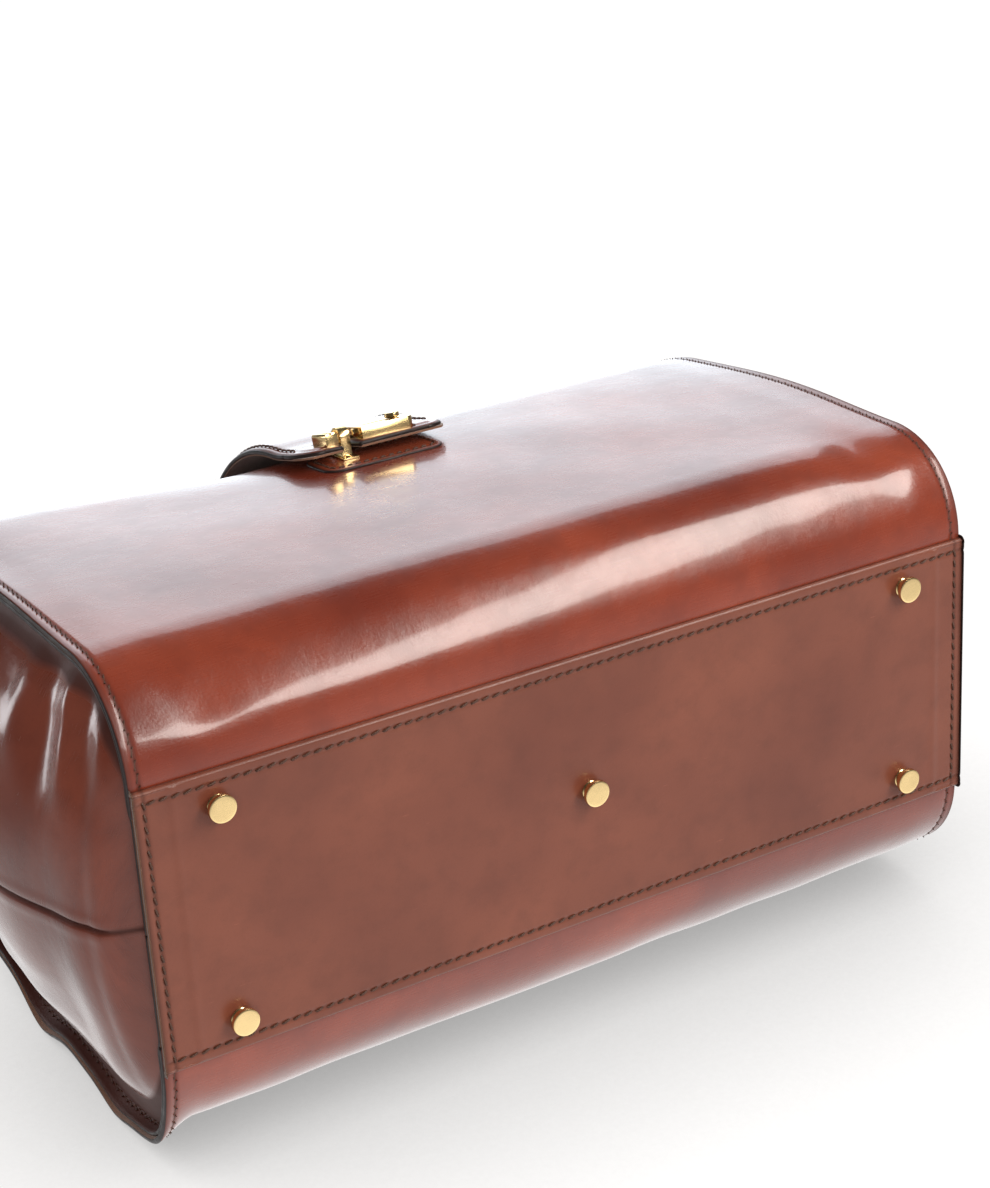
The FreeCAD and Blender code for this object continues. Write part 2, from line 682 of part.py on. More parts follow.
# --- every node -------------------------------------------------------------------------------
def nodes():
    panel = rear_panel()
    shoulder = rear_shoulder()
    cover = frame_cover()
    gusset = right_gusset()
    gusset_top = right_gusset_top()
    staple_holes = staple_rivet_holes()
    rivet_xs = [side * x for side in SIDES for x in BRACKET_RIVET_X]
    return {
        "base_panel": [base_panel()],
        "base_board": [base_board()],
        "base_studs": [stud(x, y) for x, y in stud_places()],
        "stud_washers": [stud_washer(x, y) for x, y in stud_places()],
        "front_panel": [cut_all(mirror_y(panel), staple_holes)],
        "rear_panel": [panel],
        "right_gusset": gusset,
        "left_gusset": [mirror_x(solid) for solid in gusset],
        "lining": [lining()],
        "front_shoulder": [mirror_y(shoulder)],
        "rear_shoulder": [shoulder],
        "right_gusset_top": gusset_top,
        "left_gusset_top": [mirror_x(solid) for solid in gusset_top],
        "pin_anchors": both_ends(pin_anchor()),
        "hinge_pins": both_ends(hinge_pin()),
        "hinge_washers": both_ends(hinge_washer()),
        "front_frame": [mirror_y(frame_half(FRONT_ARM_X))],
        "front_frame_cover": [mirror_y(cover)],
        "rear_frame": [cut_all(frame_half(REAR_ARM_X), bracket_rivet_holes())],
        "rear_frame_cover": [cut_all(cover, bracket_rivet_holes())],
        "handle_brackets": both_ends(handle_bracket()),
        "bracket_rivets": [bracket_rivet(x) for x in rivet_xs],
        "handle_rings": both_ends(handle_ring()),
        "handle_ends": both_ends(handle_end()),
        "handle_core": [handle_arc_solid(GRIP_RADIUS / 2, 0)],
        "handle_grip": [handle_arc_solid(GRIP_RADIUS, GRIP_RADIUS / 2 + GAP)],
        "tab_bar": [tab_bar()],
        "closing_tab": [closing_tab()],
        "tab_backing": [tab_backing()],
        "lock_base_patch": [lock_base_patch()],
        "lock_staple": [lock_staple()],
        "staple_rivets": [staple_rivet(up) for up in (-6.4, 6.4)],
        "lock_plate": [lock_plate()],
        "lock_keeper": [lock_keeper()],
        "lock_bolt": [lock_bolt()],
        "bolt_knob": [bolt_knob()],
        "lock_rivets": [lock_rivet(x, up) for x, up in lock_rivet_places()],
    }


def main():
    os.makedirs("parts", exist_ok=True)
    for name, solids in nodes().items():
        whole = Part.makeCompound(solids)
        shape = whole.Solids[0] if len(whole.Solids) == 1 else Part.makeCompound(whole.Solids)
        shape.exportStep(f"parts/{name}.step")
        valid = all(solid.isValid() for solid in shape.Solids)
        print(f"{name}: {len(shape.Solids)} solids, {shape.Volume:.0f} mm3, valid {valid}")


main()
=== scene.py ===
import json
import math

import bmesh
import bpy
import numpy as np
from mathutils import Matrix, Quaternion, Vector

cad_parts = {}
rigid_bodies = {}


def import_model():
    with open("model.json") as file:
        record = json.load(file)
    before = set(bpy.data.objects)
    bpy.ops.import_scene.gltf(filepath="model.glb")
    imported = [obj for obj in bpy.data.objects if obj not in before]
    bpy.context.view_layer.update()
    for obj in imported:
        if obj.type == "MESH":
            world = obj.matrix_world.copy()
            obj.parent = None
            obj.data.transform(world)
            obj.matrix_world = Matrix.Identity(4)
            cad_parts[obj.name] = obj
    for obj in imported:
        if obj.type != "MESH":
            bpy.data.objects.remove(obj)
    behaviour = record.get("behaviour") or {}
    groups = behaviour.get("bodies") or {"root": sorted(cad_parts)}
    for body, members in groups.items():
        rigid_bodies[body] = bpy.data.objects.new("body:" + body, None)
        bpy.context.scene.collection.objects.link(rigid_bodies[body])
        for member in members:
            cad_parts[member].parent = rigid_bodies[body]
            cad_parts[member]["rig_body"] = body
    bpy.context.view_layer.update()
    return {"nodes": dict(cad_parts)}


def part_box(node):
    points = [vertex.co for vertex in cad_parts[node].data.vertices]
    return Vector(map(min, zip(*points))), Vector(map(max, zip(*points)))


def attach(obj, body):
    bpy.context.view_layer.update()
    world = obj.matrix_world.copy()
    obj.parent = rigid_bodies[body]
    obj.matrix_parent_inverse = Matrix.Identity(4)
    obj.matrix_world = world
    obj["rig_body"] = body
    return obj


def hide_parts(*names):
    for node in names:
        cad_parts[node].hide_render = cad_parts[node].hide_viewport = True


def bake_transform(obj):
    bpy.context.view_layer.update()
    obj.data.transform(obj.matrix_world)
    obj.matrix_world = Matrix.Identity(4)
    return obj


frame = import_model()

# Lengths are millimetres up to mesh_piece() and metres in lights, camera and materials.
MM = 0.001
SIDES = FRONT, REAR = -1, 1
WORD = {FRONT: "front", REAR: "rear"}
END_WORD = {-1: "left", 1: "right"}
HALF_OF = {FRONT: "front_half", REAR: "rear_half"}


# --- the outline that the leather follows -------------------------------------------------------
HALF_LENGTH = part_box("base_panel")[1].x / MM
HALF_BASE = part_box("base_panel")[1].y / MM
BASE_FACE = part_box("base_panel")[0].z / MM
BASE_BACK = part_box("base_panel")[1].z / MM
HALF_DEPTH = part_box("rear_panel")[1].y / MM
PANEL_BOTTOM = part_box("rear_panel")[0].z / MM
WALL_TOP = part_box("rear_panel")[1].z / MM
SHOULDER_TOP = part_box("rear_shoulder")[1].z / MM
CORNER_RADIUS = HALF_DEPTH - HALF_BASE
LEAN_START = 90.0
LEAN_RADIUS = 998.0
LEAN = math.asin((WALL_TOP - LEAN_START) / LEAN_RADIUS)
LEATHER = 2.5
GUSSET_LEATHER = 1.8
SHOULDER_END_Y = 12.2


def running_length(points):
    """Distance along a line of points, from its first one."""
    return np.concatenate([[0.0], np.cumsum(np.linalg.norm(np.diff(points, axis=0), axis=1))])


def unit(vectors):
    return vectors / np.maximum(np.linalg.norm(vectors, axis=-1, keepdims=True), 1e-9)


def without(vectors, normals):
    """The vectors' part that is square to the normals, as unit vectors."""
    return unit(vectors - normals * np.sum(vectors * normals, 1)[:, None])


def arc_points(centre_y, centre_z, radius, start, end, count=160):
    angles = np.linspace(start, end, count)
    return list(zip(centre_y + radius * np.cos(angles), centre_z + radius * np.sin(angles)))


def outline_points():
    """Rear half of the outer outline, from the middle of the base up to the frame."""
    wall_top_y = HALF_DEPTH - LEAN_RADIUS * (1 - math.cos(LEAN))
    radius = (SHOULDER_TOP - WALL_TOP) / (1 - math.sin(LEAN))
    shoulder_y = wall_top_y - radius * math.cos(LEAN)
    points = [(y, PANEL_BOTTOM) for y in np.linspace(0, HALF_BASE, 120, endpoint=False)]
    points += arc_points(HALF_BASE, PANEL_BOTTOM + CORNER_RADIUS, CORNER_RADIUS, -math.pi / 2, 0)
    points += [(HALF_DEPTH, z) for z in np.linspace(PANEL_BOTTOM + CORNER_RADIUS + 0.5, LEAN_START, 80)][:-1]
    points += arc_points(HALF_DEPTH - LEAN_RADIUS, LEAN_START, LEAN_RADIUS, 0, LEAN, 220)
    points += arc_points(shoulder_y, SHOULDER_TOP - radius, radius, LEAN, math.pi / 2, 240)[1:]
    return np.array(points + [(SHOULDER_END_Y, SHOULDER_TOP)])


OUTLINE = outline_points()
OUTLINE_S = running_length(OUTLINE)
TANGENT = unit(np.gradient(OUTLINE, OUTLINE_S, axis=0))
S_END = OUTLINE_S[-1]
S_BASE = HALF_BASE
S_CORNER = S_BASE + CORNER_RADIUS * math.pi / 2
S_TOP = float(np.interp(WALL_TOP, OUTLINE[120:-1, 1], OUTLINE_S[120:-1]))


def outline_at(s):
    """Place and outward normal of the outline at arc length s."""
    y = np.interp(s, OUTLINE_S, OUTLINE[:, 0])
    z = np.interp(s, OUTLINE_S, OUTLINE[:, 1])
    normal_y = np.interp(s, OUTLINE_S, TANGENT[:, 1])
    normal_z = -np.interp(s, OUTLINE_S, TANGENT[:, 0])
    return y, z, normal_y, normal_z


def bump(value, centre, width):
    return np.exp(-(((value - centre) / width) ** 2))


def ramp(value, low, high):
    t = np.clip((value - low) / (high - low), 0, 1)
    return t * t * (3 - 2 * t)


def soft_waves(x, s, seed, scale):
    """Gentle unevenness of hand-worked leather, about one high at most."""
    random = np.random.default_rng(seed)
    total = np.zeros(np.broadcast(x, s).shape)
    for _ in range(7):
        turn = random.uniform(0, math.tau)
        length = scale * random.uniform(0.6, 1.8)
        phase = random.uniform(0, math.tau)
        total += np.sin((x * math.cos(turn) + s * math.sin(turn)) * math.tau / length + phase)
    return total / 4


SEAM_X = HALF_LENGTH - 4.6      # end stitching
# Dents and swellings of the front: height, place and width along the bag, place and width along the outline.
FRONT_DENTS = (
    (-1.2, -164, 14, 86, 10),
    (-1.0, -176, 9, 104, 18),
    (-2.0, 168, 15, 118, 16),
    (1.0, 182, 10, 92, 16),
    (-5.5, -42, 58, S_TOP + 28, 28),
    (3.5, -185, 60, S_TOP + 22, 45),
)
# Drooping sewn edge at the rear left: place along the outline, height, width.
EDGE_DROOPS = ((105, 5.0, 20), (145, 7.0, 22), (180, 2.5, 20), (226, 9.0, 24))


def relief(side, x, s):
    """How far the leather stands out from the outline: sag, dents and the pull of the seams."""
    inside = HALF_LENGTH - np.abs(x)
    body = ramp(inside, 4, 40) * ramp(s, S_BASE + 2, S_BASE + 40) * (1 - ramp(s, S_END - 40, S_END))
    lift = soft_waves(x, s, 5 + side, 150) * 0.8 * body
    lift += 0.25 * soft_waves(x, s, 11 + side, 45) * body
    lift += 0.7 * ramp(inside, 6, 26) * ramp(s, S_BASE + 4, S_BASE + 20)
    lift -= 0.35 * bump(np.abs(x), SEAM_X, 1.2) * ramp(s, 52, 60)
    if side == FRONT:
        for height, at_x, width_x, at_s, width_s in FRONT_DENTS:
            lift += height * bump(x, at_x, width_x) * bump(s, at_s, width_s)
    return lift + flange_wave(side, x, s)


def flange_wave(side, x, s):
    """The sewn edges stand a little off the outline and wander."""
    edge = ramp(np.abs(x), HALF_LENGTH - 18, HALF_LENGTH + 4) * 1.4
    wave = 0.5 * np.sin(s / 23 + side) * ramp(s, S_BASE + 10, S_BASE + 60)
    if side == REAR:
        for centre, height, width in EDGE_DROOPS:
            wave = wave + (x < 0) * height * bump(s, centre, width)
    return wave * edge * (1 - ramp(s, S_END - 60, S_END))


def skin(side, x, s, depth=0.0):
    """Point of the leather's outer face, or of a layer that lies depth under it."""
    x, s = np.broadcast_arrays(np.asarray(x, float), np.asarray(s, float))
    y, z, normal_y, normal_z = outline_at(s)
    lift = relief(side, x, s) - depth
    return np.stack([x, side * (y + normal_y * lift), z + normal_z * lift], axis=-1)


def skin_normal(side, x, s):
    nudge = 0.2
    along_x = skin(side, x + nudge, s) - skin(side, x - nudge, s)
    along_s = skin(side, x, s + nudge) - skin(side, x, s - nudge)
    return unit(np.cross(along_x, along_s) * side)


# --- mesh helpers -------------------------------------------------------------------------------
def add_object(name, data):
    piece = bpy.data.objects.new(name, data)
    bpy.context.scene.collection.objects.link(piece)
    return piece


def mesh_piece(name, points, faces, materials, face_materials=None, uv=None, dark=None, smooth=True):
    """A mesh object from points in millimetres, with its finishes, surface coordinates and edge tint, which
    holds burnished edges and painted shade in the gussets' gutters.
    """
    mesh = bpy.data.meshes.new(name)
    mesh.from_pydata((np.asarray(points, float) * MM).tolist(), [], [list(f) for f in faces])
    for material in materials:
        mesh.materials.append(material)
    if face_materials is not None:
        mesh.polygons.foreach_set("material_index", np.asarray(face_materials, np.int32))
    mesh.polygons.foreach_set("use_smooth", np.full(len(mesh.polygons), smooth))
    if uv is not None:
        corners = np.zeros(len(mesh.loops), np.int32)
        mesh.loops.foreach_get("vertex_index", corners)
        layer = mesh.uv_layers.new(name="surface")
        layer.data.foreach_set("uv", (np.asarray(uv, float)[corners] / 100).ravel())
    if dark is not None:
        attribute = mesh.attributes.new("edge_dark_and_painted_shade", "FLOAT", "POINT")
        attribute.data.foreach_set("value", np.asarray(dark, np.float32))
    mesh.validate()
    mesh.update()
    return add_object(name, mesh)


def grid_normals(grid):
    return unit(np.cross(np.gradient(grid, axis=0), np.gradient(grid, axis=1)))


def leather_sheet(name, grid, thickness, grain, uv, dark, flip=False, round_off=0.35):
    """A closed layer of leather under a grid of points, with a rounded, painted edge.

    The grain side is where cross(along the rows, along the columns) points, or the other side with flip.
    dark tints the grain, from 0 to 1, at each point of the grid."""
    rows, columns = grid.shape[:2]
    count = rows * columns
    normal = (grid_normals(grid) * (-1 if flip else 1)).reshape(-1, 3)
    top = grid.reshape(-1, 3)
    cells = np.arange(count).reshape(rows, columns)
    quads = np.stack([cells[:-1, :-1], cells[1:, :-1], cells[1:, 1:], cells[:-1, 1:]], -1).reshape(-1, 4)
    if flip:
        quads = quads[:, ::-1]
    border = np.concatenate([cells[0], cells[1:, -1], cells[-1, -2::-1], cells[-2:0:-1, 0]])
    row, column = np.divmod(border, columns)
    inner = grid[np.clip(row, 1, rows - 2), np.clip(column, 1, columns - 2)]
    outwards = without(top[border] - inner, normal[border])
    middle = top[border] - normal[border] * thickness / 2
    rings = []
    for share in (0.22, 0.5, 0.78):
        swell = round_off * math.sin(math.pi * share)
        rings.append(middle + normal[border] * thickness * (0.5 - share) + outwards * swell)
    size = len(border)
    starts = [border] + [2 * count + k * size + np.arange(size) for k in range(3)] + [border + count]
    faces = [quads, quads[:, ::-1] + count]
    marks = [np.zeros(len(quads), int), np.ones(len(quads), int)]
    for upper, lower in zip(starts[:-1], starts[1:]):
        strip = np.stack([upper, np.roll(upper, -1), np.roll(lower, -1), lower], -1)
        faces.append(strip if flip else strip[:, ::-1])
        marks.append(np.full(size, 2))

    def on_all_rings(values):
        return np.concatenate([values, values] + [values[border]] * 3)

    points = np.concatenate([top, top - normal * thickness] + rings)
    piece = mesh_piece(
        name, points, np.concatenate(faces), [grain, FLESH, PAINT], np.concatenate(marks),
        on_all_rings(uv.reshape(-1, 2)), on_all_rings(dark.reshape(-1)),
    )
    fix_normals(piece)
    return piece


def fix_normals(piece):
    mesh = bmesh.new()
    mesh.from_mesh(piece.data)
    bmesh.ops.recalc_face_normals(mesh, faces=mesh.faces)
    mesh.to_mesh(piece.data)
    mesh.free()


def resample(points, normals, pitch):
    """Places every pitch along a line, with the direction and the normal there."""
    length = running_length(points)
    count = max(int(length[-1] / pitch), 1)
    centres = (length[-1] - count * pitch) / 2 + pitch * (np.arange(count) + 0.5)

    def along(values, places):
        return np.stack([np.interp(places, length, values[:, k]) for k in range(3)], -1)

    nudge = 0.4
    direction = unit(along(points, centres + nudge) - along(points, centres - nudge))
    return along(points, centres), direction, without(along(normals, centres), direction)


STITCH_PITCH = 5.0
STITCH_LENGTH = 4.1
STITCH_SLANT = 0.27
THREAD_RADIUS = 0.5
THREAD_SIDES = 7
# One stitch, station by station: reach along it, height over the leather, width of the thread.
STITCH_STATIONS = (
    (-1.0, -0.55, 0.4), (-0.8, 0.1, 0.85), (-0.35, 0.34, 1),
    (0.35, 0.34, 1), (0.8, 0.1, 0.85), (1.0, -0.55, 0.4),
)
STATION_UNIT = 0.42     # the thread radius that those heights are for


def stitches(name, points, normals, seed, body=None, pitch=STITCH_PITCH):
    """Saddle stitches along a line: each one a short thread that dives into the leather at both ends."""
    place, direction, normal = resample(points, normals, pitch)
    random = np.random.default_rng(seed)
    count = len(place)
    slant = STITCH_SLANT + random.normal(0, 0.03, count)
    across = np.cross(normal, direction)
    forward = direction * np.cos(slant)[:, None] + across * np.sin(slant)[:, None]
    sideways = np.cross(normal, forward)
    half = STITCH_LENGTH / 2 * pitch / STITCH_PITCH * (1 + random.normal(0, 0.03, count))
    radius = THREAD_RADIUS
    rings, pattern = [], []
    for station, (reach, height, width) in enumerate(STITCH_STATIONS):
        for k in range(THREAD_SIDES):
            angle = math.tau * k / THREAD_SIDES
            ring = forward * (half * reach)[:, None] + normal * radius * height / STATION_UNIT
            ring = ring + sideways * radius * width * math.cos(angle)
            ring = ring + normal * radius * width * math.sin(angle)
            rings.append(place + ring)
            if station:
                upper, after = station * THREAD_SIDES, (k + 1) % THREAD_SIDES
                lower = upper - THREAD_SIDES
                pattern.append((lower + k, lower + after, upper + after, upper + k))
    cloud = np.stack(rings, 1)
    faces = (np.arange(count)[:, None, None] * cloud.shape[1] + np.array(pattern)).reshape(-1, 4)
    piece = mesh_piece(name, cloud.reshape(-1, 3), faces, [THREAD])
    if body:
        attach(piece, body)
    return piece


# --- materials ----------------------------------------------------------------------------------
class Nodes:
    """Short calls that add nodes to the tree of a material or a world and link them."""

    def __init__(self, owner):
        self.owner = owner
        owner.use_nodes = True
        self.tree = owner.node_tree
        self.shader = self.tree.nodes.get("Principled BSDF")

    def add(self, kind, inputs=(), **settings):
        node = self.tree.nodes.new(kind)
        for key, value in settings.items():
            setattr(node, key, value)
        for key, value in dict(inputs).items():
            self.feed(value, node.inputs[key])
        return node

    def feed(self, value, socket):
        if isinstance(value, bpy.types.NodeSocket):
            self.tree.links.new(value, socket)
        else:
            socket.default_value = value

    def noise(self, place, scale, detail=4.0, roughness=0.55):
        settings = {"Vector": place, "Scale": scale, "Detail": detail, "Roughness": roughness}
        return self.add("ShaderNodeTexNoise", settings).outputs["Fac"]

    def bands(self, place, scale, distortion):
        settings = {"Vector": place, "Scale": scale, "Distortion": distortion}
        return self.add("ShaderNodeTexWave", settings, bands_direction="DIAGONAL").outputs["Fac"]

    def stretch(self, place, x, y, z=1.0):
        return self.add("ShaderNodeMapping", {"Vector": place, "Scale": (x, y, z)}).outputs["Vector"]

    def math(self, operation, a, b):
        return self.add("ShaderNodeMath", {0: a, 1: b}, operation=operation).outputs["Value"]

    def span(self, value, low, high, to_low, to_high, **settings):
        inputs = {"Value": value, "From Min": low, "From Max": high, "To Min": to_low, "To Max": to_high}
        return self.add("ShaderNodeMapRange", inputs, **settings).outputs["Result"]

    def mix(self, share, a, b):
        node = self.add("ShaderNodeMix", data_type="RGBA")
        for name, value in (("Factor_Float", share), ("A_Color", a), ("B_Color", b)):
            self.feed(value, next(s for s in node.inputs if s.identifier == name))
        return next(s for s in node.outputs if s.identifier == "Result_Color")

    def either(self, share, no, yes):
        return self.add("ShaderNodeMixShader", {0: share, 1: no, 2: yes}).outputs[0]

    def bump(self, height, strength, distance, under=None):
        settings = {"Height": height, "Strength": strength, "Distance": distance}
        if under is not None:
            settings["Normal"] = under
        return self.add("ShaderNodeBump", settings).outputs["Normal"]

    def link(self, value, socket):
        self.tree.links.new(value, self.shader.inputs[socket])

    def dye(self, share, colour, other):
        self.link(self.mix(share, (*colour, 1), (*other, 1)), "Base Color")

    def set(self, **values):
        for key, value in values.items():
            self.shader.inputs[key.replace("_", " ")].default_value = value


def new_material(name):
    return Nodes(bpy.data.materials.new(name))


def scaled(colour, factor, lift=0.0):
    return tuple(min(1.0, channel * factor + lift) for channel in colour)


def surface_place(nodes):
    return nodes.add("ShaderNodeUVMap", uv_map="surface").outputs["UV"]


def object_place(nodes):
    return nodes.add("ShaderNodeTexCoord").outputs["Object"]


def edge_and_painted_shade_tint(nodes):
    return nodes.add("ShaderNodeAttribute", attribute_name="edge_dark_and_painted_shade").outputs["Fac"]


def grain_leather(name, deep, light, roughness, coat, scratches=0.0, crease=1.0):
    """Vegetable-tanned, burnished leather: mottled dye, fine pores, hair creases and darker edges. The edge
    tint also carries painted shade in the gutters of the gussets and their tops.
    """
    nodes = new_material(name)
    place = surface_place(nodes)
    clouds = nodes.noise(place, 1.3, 3, 0.5)
    mottle = nodes.noise(place, 7, 6, 0.62)
    darker = (*scaled(deep, 0.62), 1)
    dye = nodes.mix(nodes.span(clouds, 0.32, 0.68, 0, 1), (*deep, 1), (*light, 1))
    dye = nodes.mix(nodes.span(mottle, 0.46, 0.78, 0, 0.38), dye, darker)
    cells = {"Vector": place, "Scale": 95.0, "Randomness": 0.95}
    pores = nodes.add("ShaderNodeTexVoronoi", cells).outputs["Distance"]
    dye = nodes.mix(nodes.span(pores, 0.0, 0.35, 0.22, 0), dye, darker)
    streaks = nodes.noise(nodes.stretch(place, 3.0, 38.0), 2.4, 5, 0.6)
    if scratches:
        marks = nodes.span(streaks, 0.66, 0.70, 0, scratches)
        rare = nodes.span(nodes.noise(place, 5, 2), 0.5, 0.62, 0, 1)
        dye = nodes.mix(nodes.math("MULTIPLY", marks, rare), dye, (*scaled(light, 1.5, 0.02), 1))
    edge = edge_and_painted_shade_tint(nodes)
    # Darker where the edge tint is set: burnished edges, and painted shade in the gussets' gutters.
    dye = nodes.mix(nodes.math("MULTIPLY", edge, 0.85), dye, (*scaled(deep, 0.28), 1))
    nodes.link(dye, "Base Color")
    shine = nodes.span(mottle, 0.3, 0.7, -0.02, 0.03)
    shine = nodes.math("ADD", shine, nodes.span(streaks, 0.3, 0.7, -0.01, 0.015))
    shine = nodes.math("ADD", shine, roughness)
    nodes.link(nodes.math("ADD", shine, nodes.math("MULTIPLY", edge, 0.35)), "Roughness")
    nodes.link(nodes.span(edge, 0.0, 0.8, coat, 0.0), "Coat Weight")
    wrinkles = nodes.noise(nodes.stretch(place, 24.0, 17.0), 1.0, 5, 0.65)
    lines = nodes.noise(nodes.stretch(place, 2.0, 60.0), 1.5, 6, 0.7)
    grain = nodes.bump(pores, 0.5, 0.00005)
    grain = nodes.bump(nodes.noise(place, 260, 3), 0.25, 0.00003, grain)
    grain = nodes.bump(wrinkles, 0.35 * crease, 0.00022, grain)
    grain = nodes.bump(lines, 0.05 * crease, 0.00012, grain)
    grain = nodes.bump(nodes.noise(place, 9, 2, 0.4), 0.18 * crease, 0.0010, grain)
    nodes.link(grain, "Normal")
    nodes.set(Coat_Roughness=0.1, Coat_IOR=1.5, IOR=1.5, Specular_IOR_Level=0.5)
    return nodes.owner


def painted_edge(name, colour):
    """Edge paint over cut leather: dark, uneven, a little shiny."""
    nodes = new_material(name)
    place = object_place(nodes)
    patches = nodes.noise(place, 180, 4)
    nodes.dye(nodes.span(patches, 0.5, 0.8, 0, 0.7), colour, scaled(colour, 2.6, 0.012))
    nodes.link(nodes.span(patches, 0.3, 0.7, 0.35, 0.6), "Roughness")
    nodes.link(nodes.bump(nodes.noise(place, 900, 3), 0.5, 0.0002), "Normal")
    nodes.set(Specular_IOR_Level=0.45)
    return nodes.owner


def suede(name, colour):
    """Napped flesh side."""
    nodes = new_material(name)
    place = object_place(nodes)
    nap = nodes.noise(place, 1400, 4, 0.7)
    nodes.dye(nodes.span(nodes.noise(place, 30, 4), 0.35, 0.65, 0, 1), colour, scaled(colour, 1.35))
    nodes.link(nodes.span(nap, 0.3, 0.7, 0.82, 0.98), "Roughness")
    nodes.link(nodes.bump(nap, 0.7, 0.0004), "Normal")
    nodes.set(Sheen_Weight=0.35, Specular_IOR_Level=0.2)
    return nodes.owner


def waxed_thread(name, colour):
    """Twisted, waxed linen thread."""
    nodes = new_material(name)
    ply = nodes.bands(object_place(nodes), 900.0, 1.5)
    nodes.dye(ply, colour, scaled(colour, 2.2))
    nodes.link(nodes.bump(ply, 0.6, 0.0001), "Normal")
    nodes.set(Roughness=0.5, Specular_IOR_Level=0.4)
    return nodes.owner


def metal(name, colour, roughness, wear):
    """Polished plated metal with hairlines and duller patches."""
    nodes = new_material(name)
    place = object_place(nodes)
    lines = nodes.noise(nodes.stretch(place, 60.0, 900.0, 60.0), 3.0, 3)
    nodes.dye(nodes.span(nodes.noise(place, 90, 4), 0.45, 0.8, 0, wear), colour, scaled(colour, 0.72))
    nodes.link(nodes.math("ADD", nodes.span(lines, 0.3, 0.7, -0.03, 0.05), roughness), "Roughness")
    nodes.link(nodes.bump(lines, 0.12, 0.00005), "Normal")
    nodes.set(Metallic=1.0)
    return nodes.owner


def fibre_board(name, colour):
    nodes = new_material(name)
    fibres = nodes.noise(nodes.stretch(object_place(nodes), 400.0, 60.0, 200.0), 2.0, 5, 0.7)
    nodes.dye(fibres, colour, scaled(colour, 1.4))
    nodes.link(nodes.bump(fibres, 0.5, 0.0003), "Normal")
    nodes.set(Roughness=0.85)
    return nodes.owner


def rope_core(name, colour):
    nodes = new_material(name)
    strand = nodes.bands(object_place(nodes), 160.0, 2.0)
    nodes.dye(strand, scaled(colour, 0.5), colour)
    nodes.link(nodes.bump(strand, 0.8, 0.0008), "Normal")
    nodes.set(Roughness=0.9)
    return nodes.owner


# Deep and light dye, roughness, coat.
BODY = grain_leather("body_leather", (0.15, 0.021, 0.009), (0.27, 0.047, 0.020), 0.27, 0.55)
BASE = grain_leather(
    "base_leather", (0.14, 0.035, 0.018), (0.205, 0.057, 0.030), 0.40, 0.1, scratches=0.5, crease=0.5,
)
GUSSET = grain_leather("gusset_leather", (0.12, 0.023, 0.012), (0.21, 0.046, 0.023), 0.25, 0.45, crease=1.2)
TRIM = grain_leather("trim_leather", (0.16, 0.026, 0.011), (0.28, 0.055, 0.023), 0.26, 0.45)
PAINT = painted_edge("edge_paint", (0.016, 0.009, 0.008))
FLESH = suede("flesh_side", (0.16, 0.075, 0.045))
LINING = suede("lining_suede", (0.2, 0.105, 0.06))
THREAD = waxed_thread("waxed_thread", (0.05, 0.022, 0.014))
BRASS = metal("polished_brass", (0.93, 0.68, 0.33), 0.2, 0.5)
STEEL = metal("steel", (0.55, 0.55, 0.56), 0.3, 0.5)
BOARD = fibre_board("fibre_board", (0.22, 0.15, 0.09))
ROPE = rope_core("rope_core", (0.45, 0.36, 0.24))


# --- the wrapped body ---------------------------------------------------------------------------
TUCKED_S = 50       # where the panels start, under the base leather
FOLD_S = 64         # up to here their rows lie closer together


def bend(piece):
    """Bakes the piece's placement into its mesh; it is not attached to the bag's body or a frame half."""
    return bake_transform(piece)


def across_stations():
    """Places along the bag, closer together at the end seams."""
    edge = np.concatenate([
        np.arange(187.6, SEAM_X - 3, 1.4),
        np.arange(SEAM_X - 2.4, HALF_LENGTH - 0.6, 0.6), [HALF_LENGTH - 0.3],
    ])
    return np.concatenate([-edge[::-1], np.linspace(-186, 186, 150), edge])


def wrap(side):
    """Front or rear body panel and shoulder, one piece of leather."""
    word = WORD[side]
    x = across_stations()
    s = np.concatenate([np.arange(TUCKED_S, FOLD_S, 1.0), np.arange(FOLD_S, S_END, 2.2), [S_END]])
    grid = skin(side, x[None, :], s[:, None])
    uv = np.stack(np.broadcast_arrays(x[None, :], s[:, None] + 900 * (side + 1)), -1)
    rim = 0.7 * ramp(np.abs(x), HALF_LENGTH - 4, HALF_LENGTH)
    dark = np.tile(np.maximum(rim, 0.75 * bump(np.abs(x), SEAM_X, 1.0)), (len(s), 1))
    piece = leather_sheet(word + "_body", grid, LEATHER, BODY, uv, dark, flip=side == FRONT)
    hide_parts(word + "_panel", word + "_shoulder")
    bend(piece)
    for end in SIDES:
        run = np.arange(HALF_BASE - 8, S_END - 3, 0.5)
        x = np.full(len(run), end * SEAM_X)
        name = f"{word}_end_stitches_{END_WORD[end]}"
        bend(stitches(name, skin(side, x, run), skin_normal(side, x, run), 3 + end + side))
    run = np.arange(-HALF_LENGTH + 8, HALF_LENGTH - 8, 1.0)
    hem = np.full(len(run), S_END - 5.0)
    seam = stitches(word + "_frame_stitches", skin(side, run, hem), skin_normal(side, run, hem), 21 + side)
    bend(seam)


# --- base ---------------------------------------------------------------------------------------
STUDS = [(0.0, 0.0)] + [(a * 166.2, b * 46.7) for a in SIDES for b in SIDES]
BASE_SEAM_Y = HALF_BASE - 5.2


